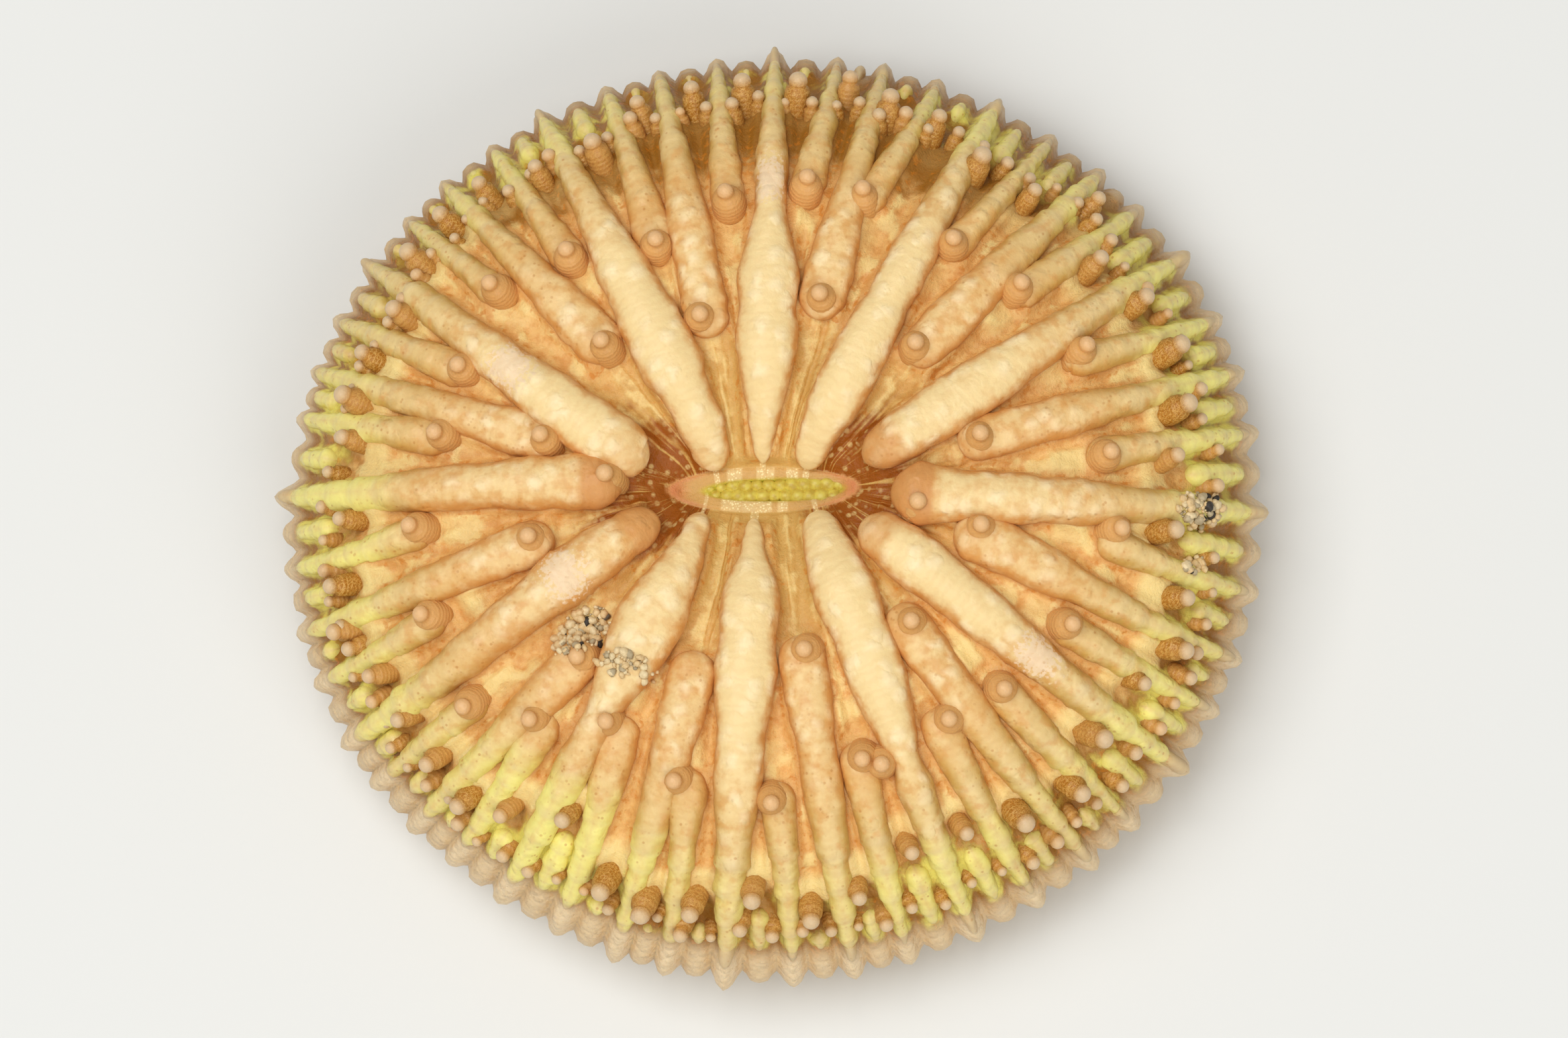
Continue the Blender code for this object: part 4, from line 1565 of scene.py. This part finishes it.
@dataclass
class Ridges:
    """The fleshy ridges of one or more cycles, as one piece."""

    name: str
    cycles: tuple[Cycle, ...]
    sunk: float = 0.32 * MM
    waist: float = 0.45
    tip_sink: float = 0.28 * MM
    pointed_cap: float = 0.7 * MM
    outer_cap: float = 0.9 * MM
    lobe_length: float = 1.7 * MM
    main_lobe_length: float = 1.9 * MM
    chalk_length: float = 0.9 * MM
    floor: Floor = field(default_factory=Floor)

    def build(self) -> bpy.types.Object:
        """Builds and dresses the ridges.

        Returns:
            The finished piece.
        """
        marks = ("share", "side", "core", "lobe", "green", "tip", "chalk")
        piece = Piece(self.name, Finish.RIDGE, marks)
        for cycle in self.cycles:
            for ridge in FAN.of_cycle(cycle):
                self.add(piece, ridge)
        return piece.make()

    def path(self, ridge: Ridge, share: float) -> tuple[Vector, Vector]:
        """A point under a ridge's crest, out on its tooth at the rim, and the direction outward there.

        Args:
            ridge: the ridge.
            share: how far out the point is.

        Returns:
            The point and the direction.
        """
        turn = FAN.turn(ridge.index, share)
        normal = DISC.normal(turn, share)
        tooth = self.floor.upper_tooth(ridge.index, 0.0, turn, share)
        return DISC.floor_point(turn, share) + normal * max(0.0, tooth - self.tip_sink), normal

    def swell(self, ridge: Ridge, share: float, along: float) -> float:
        """How much wider than its cycle's form a ridge is at a place.

        Args:
            ridge: the ridge.
            share: the place's share.
            along: its distance from the ridge's inner end.

        Returns:
            The width there, times the form's.
        """
        seed = ridge.index * 7.31
        lumps = 0.16 * noise.noise(Vector((along / MM * 0.55, seed, 0.0)))
        lumps += 0.08 * noise.noise(Vector((along / MM * 1.5, seed, 4.0)))
        for middle, width, amount in SWELLS.get(ridge.index, ()):
            lumps += amount * math.exp(-(((share - middle) / width) ** 2))
        return 1 + lumps

    def fullness(self, ridge: Ridge, share: float, step: float) -> float:
        """How much wider a ridge is for its own inner and outer widths, and for a lobe's step.

        Args:
            ridge: the ridge.
            share: how far out it is read.
            step: how far along a lobe that is, from 0 to 1.

        Returns:
            What the width is multiplied by.
        """
        inner_width = INNER_WIDTHS.get(ridge.index, 1.0)
        is_top = ridge.cycle is not Cycle.MAIN and 45 < ridge.rim_turn < 150
        outer_width = OUTER_WIDTHS.get(ridge.index, 0.84 if is_top else 0.97)
        full = inner_width + (1 - inner_width) * blend(0.05, 0.26, share)
        full *= 1 + (outer_width - 1) * blend(0.52, 0.82, share)
        return full * (1 + 0.22 * (step - 0.5) * blend(0.76, 0.84, share))

    def step(self, ridge: Ridge, share: float, along: float) -> float:
        """How far a place is, from 0 to 1, along one of the overlapping lobes near the rim."""
        length = (0.95 + 0.25 * math.sin(ridge.index * 2.1)) * MM
        return (along / length + 0.37 * ridge.index) % 1.0 if share > 0.78 else 0.0

    def rings(self, ridge: Ridge) -> list[RidgeRing]:
        """The rings of a ridge, from its inner end to its outer one, closest at both ends.

        Args:
            ridge: the ridge.

        Returns:
            The rings.
        """
        form = FORMS[ridge.cycle]
        first = FAN.inner_share(ridge)
        rim_start = read_knots(RIM_STARTS, FAN_TURNS[ridge.index] % 360)
        last = form.outer_share - USUAL_RIM_START + rim_start
        shares = []
        for ring in range(form.rings + 1):
            part = ring / form.rings
            shares.append(first + (last - first) * (part - 0.85 * math.sin(math.tau * part) / math.tau))
        path = [self.path(ridge, share) for share in shares]
        lengths = [0.0]
        for before, after in zip(path, path[1:]):
            lengths.append(lengths[-1] + (after[0] - before[0]).length)
        is_pointed = ridge.cycle is Cycle.MAIN and first < 0.12
        inner_cap = self.pointed_cap if is_pointed else form.inner_cap
        made = []
        for ring, (share, along) in enumerate(zip(shares, lengths)):
            base, normal = path[ring]
            forward = (path[min(ring + 1, form.rings)][0] - path[max(ring - 1, 0)][0]).normalized()
            sideways = normal.cross(forward).normalized()
            outward = forward.cross(sideways).normalized()
            step = self.step(ridge, share, along)
            swell = self.swell(ridge, share, along) * self.fullness(ridge, share, step)
            width = read_knots(form.half_widths, share) * swell
            height = read_knots(form.heights, share) * (0.86 + 0.14 * swell)
            inner = math.sqrt(1 - (1 - min(along / inner_cap, 1.0)) ** 2)
            outer = math.sqrt(1 - (1 - min((lengths[-1] - along) / self.outer_cap, 1.0)) ** 2)
            cap = min(inner, outer)
            made.append(RidgeRing(share, along, base, sideways, outward, width, height, cap, step))
        return made

    def vertex(self, ridge: Ridge, ring: RidgeRing, angle: float) -> tuple[Vector, dict[str, float]]:
        """One vertex of a ridge.

        Args:
            ridge: the ridge.
            ring: the ring that the vertex is on.
            angle: how far round the ring it is from the crest, in radians.

        Returns:
            Its place, and its marks by name.
        """
        side, up = math.sin(angle), math.cos(angle)
        middle = self.waist * ring.height
        vertical = up * (ring.height - middle) if up > 0 else up * (middle + self.sunk)
        point = ring.base + ring.outward * (middle + vertical * ring.cap)
        point += ring.sideways * (side * ring.width * ring.cap)
        facing = (ring.outward * up + ring.sideways * side).normalized()
        crest = max(up, 0.0)
        bend = 2.2 * noise.noise(point / MM * 1.1) + 1.2 * abs(side)
        wrinkle = math.sin(ring.along / (0.15 * MM) + bend)
        beads = noise.noise(point / MM * 2.6 + Vector((0, 0, ridge.index)))
        relief = 0.002 * MM * wrinkle * ring.cap + (0.03 + 0.02 * crest) * MM * beads * ring.cap
        chalk = 0.0
        if ridge.chalk_reach:
            out = ring.share * DISC.rim(ridge.rim_turn) - ridge.chalk_reach
            chalk = math.exp(-((out / self.chalk_length) ** 2))
            relief += 0.08 * MM * chalk * noise.noise(point / MM * 4.5)
        marks = self.marks(ridge, ring, abs(side), crest, beads)
        marks["chalk"] = chalk * crest
        return point + facing * relief, marks

    def marks(
        self, ridge: Ridge, ring: RidgeRing, side: float, crest: float, beads: float
    ) -> dict[str, float]:
        """The marks of one vertex by name, all but its chalk.

        Args:
            ridge: the ridge.
            ring: the ring that the vertex is on.
            side: how far it is out to the side, from 0 to 1.
            crest: how near it is to the crest, from 0 to 1.
            beads: the value of the beady noise there.

        Returns:
            The marks.
        """
        length = self.main_lobe_length if ridge.cycle is Cycle.MAIN else self.lobe_length
        lobe = ridge.lobe * (1 - blend(0.45 * length, length, ring.along + 0.25 * MM * beads))
        core = ridge.core * (0.35 + 0.65 * crest**0.7) * (1 - lobe)
        core *= 1 - blend(0.50, 0.80, ring.share) * (1 - 0.25 * ridge.core)
        core *= 1 - blend(0.62, 1.0, side) * 0.65
        turn = FAN_TURNS[ridge.index] % 360
        lower_left = 0.12 * math.exp(-(((turn - 235) / 26) ** 2))
        left = 0.09 * math.exp(-(((turn - 182) / 16) ** 2))
        early = max(lower_left, left)
        green = greenness(turn) * blend(0.77 - early, 0.90 - 0.5 * early, ring.share)
        rim_start = read_knots(RIM_STARTS, turn)
        end = blend(rim_start, rim_start + 0.8 * RIM_BLEND, ring.share)
        return {
            "share": ring.share,
            # The side mark darkens the flanks in the ridge finish, partly painted shade, and is full below
            # the crest line
            "side": side if crest > 0 else 1.0,
            "core": core,
            "lobe": lobe,
            "green": green * (0.50 + 0.50 * side) * (1 - end),
            "tip": max(0.9 * end, 0.25 * blend(0.60, 0.95, ring.step) * crest),
        }

    def add(self, piece: Piece, ridge: Ridge) -> None:
        """Adds one ridge to the piece.

        Args:
            piece: the piece.
            ridge: the ridge.
        """
        form = FORMS[ridge.cycle]
        rings = self.rings(ridge)
        uv = {}
        for vertex, (column, row) in sphere_grid(piece.mesh, form.around, form.rings).items():
            angle = math.tau * column / form.around
            vertex.co, marks = self.vertex(ridge, rings[row], angle)
            for name, value in marks.items():
                vertex[piece.layers[name]] = value
            uv[vertex] = (angle * rings[row].width, rings[row].along)
        piece.lay_uv(uv)


# The true turn of each ridge near the rim
FAN_TURNS = [FAN.turn(index, 0.95) for index in range(RIDGE_COUNT)]


class TentacleKind(Enum):
    """The tentacles by where they stand."""

    LOBE = "on the clear inner end of a ridge"
    RIM = "brown, in the valleys near the rim"
    TINY = "the smallest, right at the rim"


@dataclass(frozen=True)
class TentacleForm:
    """The sizes of one kind of tentacle."""

    foot: float
    neck: float
    stem: float
    knob: float
    root: float
    dark: float
    lean_out: float
    lift: float
    seen_part: float
    rings: int = 20
    around: int = 18


TENTACLE_FORMS: dict[TentacleKind, TentacleForm] = {
    TentacleKind.LOBE: TentacleForm(
        foot=0.68 * MM, neck=0.37 * MM, stem=0.82 * MM, knob=0.31 * MM, root=0.40 * MM,
        dark=0.06, lean_out=0.0, lift=0.30 * MM, seen_part=1.0,
    ),
    TentacleKind.RIM: TentacleForm(
        foot=0.47 * MM, neck=0.38 * MM, stem=0.94 * MM, knob=0.32 * MM, root=0.30 * MM,
        dark=1.0, lean_out=0.35, lift=0.10 * MM, seen_part=0.5,
    ),
    TentacleKind.TINY: TentacleForm(
        foot=0.34 * MM, neck=0.26 * MM, stem=0.55 * MM, knob=0.24 * MM, root=0.20 * MM,
        dark=0.85, lean_out=0.35, lift=0.10 * MM, seen_part=0.5, rings=12, around=10,
    ),
}


@dataclass(frozen=True)
class TentacleStance:
    """How one tentacle stands, wherever on the disc that is."""

    form: TentacleForm
    size: float
    sway: Vector

    def foot(self, turn: float, share: float) -> Vector:
        """Where its foot is, if it stands at a turn and share."""
        return DISC.floor_point(turn, share) + DISC.normal(turn, share) * self.form.lift

    def axis(self, turn: float, share: float) -> Vector:
        """The direction that it points in there.

        Args:
            turn: its foot's turn.
            share: its foot's share.

        Returns:
            The direction, one unit long.
        """
        way = DISC.outward(turn, share)
        tilt = Vector((way.x, way.y, 0)) * self.form.lean_out + self.sway
        return (DISC.normal(turn, share) + tilt).normalized()

    def middle(self, turn: float, share: float) -> Vector:
        """Where the part of it is that its seen place was read at."""
        up = self.form.stem * self.size * self.form.seen_part
        return self.foot(turn, share) + self.axis(turn, share) * up


@dataclass
class Tentacles:
    """All the tentacles, as one piece for each kind."""

    seed: int = 11

    def build(self) -> list[bpy.types.Object]:
        """Builds and dresses the three kinds.

        Returns:
            The finished pieces.
        """
        picker = random.Random(self.seed)
        made = []
        lobes = [(spot, 0.96) for spot in THIRD_KNOBS]
        lobes += [(spot, 0.94) for spot in FOURTH_KNOBS]
        lobes += [(spot, 1.0) for spot in MAIN_KNOBS]
        made.append(self.group("inner_tentacles", TentacleKind.LOBE, lobes, picker))
        rims = [(spot, picker.uniform(0.82, 1.08)) for spot in RIM_TENTACLES]
        made.append(self.group("rim_tentacles", TentacleKind.RIM, rims, picker))
        tiny = []
        for index in range(RIDGE_COUNT):
            seen = (FAN.seen_turn(index, 0.93) + FAN.seen_turn(index + 1, 0.93)) / 2
            reach = picker.uniform(0.905, 0.935) * DISC.seen_rim(seen) / MM
            tiny.append(((seen, reach), picker.uniform(0.75, 1.15)))
        made.append(self.group("tiny_tentacles", TentacleKind.TINY, tiny, picker))
        return made

    def group(
        self,
        name: str,
        kind: TentacleKind,
        spots: list[tuple[tuple[float, float], float]],
        picker: random.Random,
    ) -> bpy.types.Object:
        """Builds the tentacles of one kind.

        Args:
            name: the piece's name.
            kind: which form they take.
            spots: each one's seen turn and reach in millimetres, and its size.
            picker: where their small differences come from.

        Returns:
            The finished piece.
        """
        piece = Piece(name, Finish.TENTACLE, ("knob", "dark"))
        form = TENTACLE_FORMS[kind]
        for (turn, reach), size in spots:
            sway = Vector((picker.uniform(-0.1, 0.1), picker.uniform(-0.1, 0.1), 0.0))
            stance = TentacleStance(form, size, sway)
            place = DISC.foot_of(turn, reach * MM, stance.middle)
            self.add(piece, stance, place, picker.uniform(-0.45 * form.dark, 0.10))
        return piece.make()

    def add(self, piece: Piece, stance: TentacleStance, place: tuple[float, float], tint: float) -> None:
        """Adds one tentacle at a turn and share: a cone, turned about its axis, with a round knob.

        Args:
            piece: the piece that it belongs to.
            stance: how it stands.
            place: the turn and share of its foot.
            tint: how much darker it is than its kind.
        """
        form = stance.form
        grid = sphere_grid(piece.mesh, form.around, form.rings)
        foot = stance.foot(*place)
        turned = stance.axis(*place).to_track_quat("Z", "Y").to_matrix()
        layers = piece.layers
        cone_rings = form.rings * 3 // 5
        knob_middle = form.stem + 0.55 * form.knob
        meet = math.asin(min(form.neck * 0.72 / form.knob, 0.97))
        uv = {}
        for vertex, (column, row) in grid.items():
            ring = form.rings - row
            if ring <= cone_rings:
                part = ring / cone_rings
                radius = form.neck + (form.foot - form.neck) * (1 - part**2.4) ** 0.8 if ring else 0.0
                radius *= 1 - 0.28 * blend(0.90, 1.0, part)
                height = -form.root + (form.stem + form.root) * part
                knob = 0.0
            else:
                part = (ring - cone_rings) / (form.rings - cone_rings)
                angle = meet + (math.pi - meet) * part
                radius = form.knob * math.sin(angle)
                height = knob_middle - form.knob * math.cos(angle)
                knob = blend(0.0, 0.75, part)
            angle = math.tau * column / form.around
            local = Vector((radius * math.cos(angle), radius * math.sin(angle), height))
            vertex.co = foot + turned @ (local * stance.size)
            vertex[layers["knob"]] = knob
            vertex[layers["dark"]] = max(0.0, min(1.0, form.dark + tint))
            uv[vertex] = (angle * form.foot, height)
        piece.lay_uv(uv)


@dataclass
class MouthBeads:
    """The two rows of plump folds that meet along the mouth, like the teeth of a zip."""

    count: int = 12
    first: float = -2.00 * MM
    last: float = 2.85 * MM
    row_gap: float = 0.19 * MM
    radius: float = 0.280 * MM
    depth: float = 0.18 * MM
    seed: int = 5

    def build(self) -> bpy.types.Object:
        """Builds and dresses the beads.

        Returns:
            The finished piece.
        """
        piece = Piece("mouth_beads", Finish.BEAD)
        picker = random.Random(self.seed)
        top = DISC.rim_height + DISC.dome_height - DISC.fossa_depth - self.depth
        for side in (-1, 1):
            for number in range(self.count):
                part = (number + (0.5 if side > 0 else 0.0)) / self.count
                along = self.first + (self.last - self.first) * part
                room = 0.55 + 0.40 * blend(0.0, 0.25, part) + 0.22 * blend(0.55, 0.85, part)
                place = Vector((along, side * self.row_gap * room, top))
                size = self.radius * room * picker.uniform(0.9, 1.12)
                stretch = Vector((1.0, 0.92, 0.8))
                matrix = Matrix.Translation(place) @ Matrix.Diagonal((*(stretch * size), 1.0))
                bmesh.ops.create_icosphere(piece.mesh, subdivisions=3, radius=1.0, matrix=matrix)
        return piece.make()


@dataclass(frozen=True)
class SandClump:
    """Loose grains that lie on the flesh, within an oval."""

    name: str
    x: float
    y: float
    half_length: float
    half_width: float
    heading: float
    grains: int
    seed: int
    smallest: float = 0.05 * MM
    largest: float = 0.21 * MM
    drop_height: float = 30 * MM

    def build(self, flesh: BVHTree) -> bpy.types.Object:
        """Builds and dresses the clump's grains, each dropped on the flesh.

        Args:
            flesh: the surface of everything that they can lie on.

        Returns:
            The finished piece.
        """
        piece = Piece(self.name + "_grains", Finish.SAND, ("kind",), (self.name,), "sand")
        kind = piece.layers["kind"]
        picker = random.Random(self.seed)
        turned = Matrix.Rotation(math.radians(self.heading), 2)
        for _ in range(self.grains):
            angle, out = picker.uniform(0, math.tau), picker.random() ** 0.6
            level = Vector((math.cos(angle) * self.half_length, math.sin(angle) * self.half_width)) * out
            spot = turned @ level + Vector((self.x, self.y))
            above = Vector((spot.x, spot.y, self.drop_height))
            hit, normal, _, _ = flesh.ray_cast(above, Vector((0, 0, -1)))
            if hit is None:
                continue
            size = self.smallest + (self.largest - self.smallest) * picker.random() ** 2.2
            tumbled = picker.uniform(0, math.tau)
            tumble = Matrix.Rotation(tumbled, 4, Vector((picker.random(), picker.random(), 1)))
            width, height = picker.uniform(0.7, 1.0), picker.uniform(0.55, 0.9)
            shape = Matrix.Diagonal((size, size * width, size * height, 1.0))
            place = Matrix.Translation(hit + normal * size * 0.45)
            made = bmesh.ops.create_icosphere(piece.mesh, subdivisions=2, radius=1.0)
            tone = picker.random()
            for vertex in made["verts"]:
                vertex.co *= 1 + 0.35 * noise.noise(vertex.co * 1.6 + Vector((tone * 40, 0, 0)))
                vertex.co = place @ tumble @ shape @ vertex.co
                vertex[kind] = tone
        return piece.make()


SAND_CLUMPS = (
    SandClump("sand_clump_west", -6.05 * MM, -5.10 * MM, 1.20 * MM, 0.75 * MM, 35.0, 170, 21),
    SandClump("sand_clump_south", -4.45 * MM, -6.40 * MM, 1.05 * MM, 0.45 * MM, -15.0, 70, 22),
    SandClump("sand_clump_east", 14.90 * MM, -0.75 * MM, 0.75 * MM, 0.60 * MM, 30.0, 110, 23),
    SandClump("sand_clump_southeast", 14.70 * MM, -2.60 * MM, 0.42 * MM, 0.38 * MM, 0.0, 40, 24),
)


def surface_of(pieces: Sequence[bpy.types.Object]) -> BVHTree:
    """The joined surface of several pieces, for dropping things on.

    Args:
        pieces: the pieces.

    Returns:
        The surface.
    """
    joined = bmesh.new()
    for piece in pieces:
        joined.from_mesh(piece.data)
    tree = BVHTree.FromBMesh(joined)
    joined.free()
    return tree


@dataclass(frozen=True)
class Studio:
    """A plain pale table, soft light, and a camera at the photograph's angle."""

    image_width: int = 2368
    metres_per_pixel: float = 34.0 * MM / 1483
    coral_middle_column: float = 1167.5
    distance: float = 0.36
    sensor: float = 36.0
    floor_colour: Colour = srgb(226, 226, 222)
    key_power: float = 0.87
    fill_power: float = 0.30
    sky_strength: float = 0.36

    def build(self) -> None:
        """Makes the table, the lights, the world and the camera."""
        self.table()
        self.lamp("key", Vector((-0.09, 0.01, 0.35)), 0.26, self.key_power)
        self.lamp("fill", Vector((0.10, -0.20, 0.20)), 0.20, self.fill_power)
        world = bpy.data.worlds.new("soft_room")
        world.use_nodes = True
        sky = world.node_tree.nodes["Background"]
        sky.inputs["Color"].default_value = (1.0, 1.0, 1.0, 1.0)
        sky.inputs["Strength"].default_value = self.sky_strength
        bpy.context.scene.world = world
        bpy.context.scene.view_settings.view_transform = "Standard"
        self.camera()

    def table(self) -> None:
        """Makes the table top, which isn't part of the coral."""
        mesh = bmesh.new()
        bmesh.ops.create_grid(mesh, x_segments=1, y_segments=1, size=0.6)
        data = bpy.data.meshes.new("table_top")
        mesh.to_mesh(data)
        mesh.free()
        wiring = Wiring("pale_table")
        data.materials.append(wiring.finish(self.floor_colour, roughness=0.7))
        top = bpy.data.objects.new("table_top", data)
        bpy.context.scene.collection.objects.link(top)

    def lamp(self, name: str, place: Vector, size: float, power: float) -> None:
        """Adds a square soft light that faces the coral.

        Args:
            name: its name.
            place: where it hangs.
            size: its side in metres.
            power: its power in watts.
        """
        light = bpy.data.lights.new(name, "AREA")
        light.size = size
        light.energy = power
        made = bpy.data.objects.new(name, light)
        made.location = place
        made.rotation_euler = (-place).to_track_quat("-Z", "Y").to_euler()
        bpy.context.scene.collection.objects.link(made)

    def camera(self) -> None:
        """Adds the camera, with the coral where the photograph has it."""
        width = self.image_width * self.metres_per_pixel
        aside = (self.image_width / 2 - self.coral_middle_column) * self.metres_per_pixel
        target = Vector((aside, 0.0, DISC.rim_height))
        back = Vector((-DISC.lean[0], -DISC.lean[1], 1.0)).normalized()
        data = bpy.data.cameras.new("camera")
        data.sensor_width = self.sensor
        data.lens = self.sensor * self.distance / width
        data.clip_start = 0.01
        made = bpy.data.objects.new("camera", data)
        made.location = target + back * self.distance
        sideways = Vector((0, 1, 0)).cross(back).normalized()
        upward = back.cross(sideways)
        made.rotation_euler = Matrix((sideways, upward, back)).transposed().to_euler()
        bpy.context.scene.collection.objects.link(made)
        bpy.context.scene.camera = made


def main() -> None:
    """Builds the coral's pieces in order, then the studio."""
    logging.basicConfig(level=logging.INFO, format="%(name)s: %(message)s")
    flesh = [Floor().build()]
    flesh.append(Ridges("main_ridges", (Cycle.MAIN,)).build())
    flesh.append(Ridges("third_ridges", (Cycle.THIRD,)).build())
    flesh.append(Ridges("lesser_ridges", (Cycle.FOURTH, Cycle.FIFTH)).build())
    flesh += Tentacles().build()
    MouthBeads().build()
    surface = surface_of(flesh)
    for clump in SAND_CLUMPS:
        clump.build(surface)
    Studio().build()


if __name__ == "__main__":
    main()
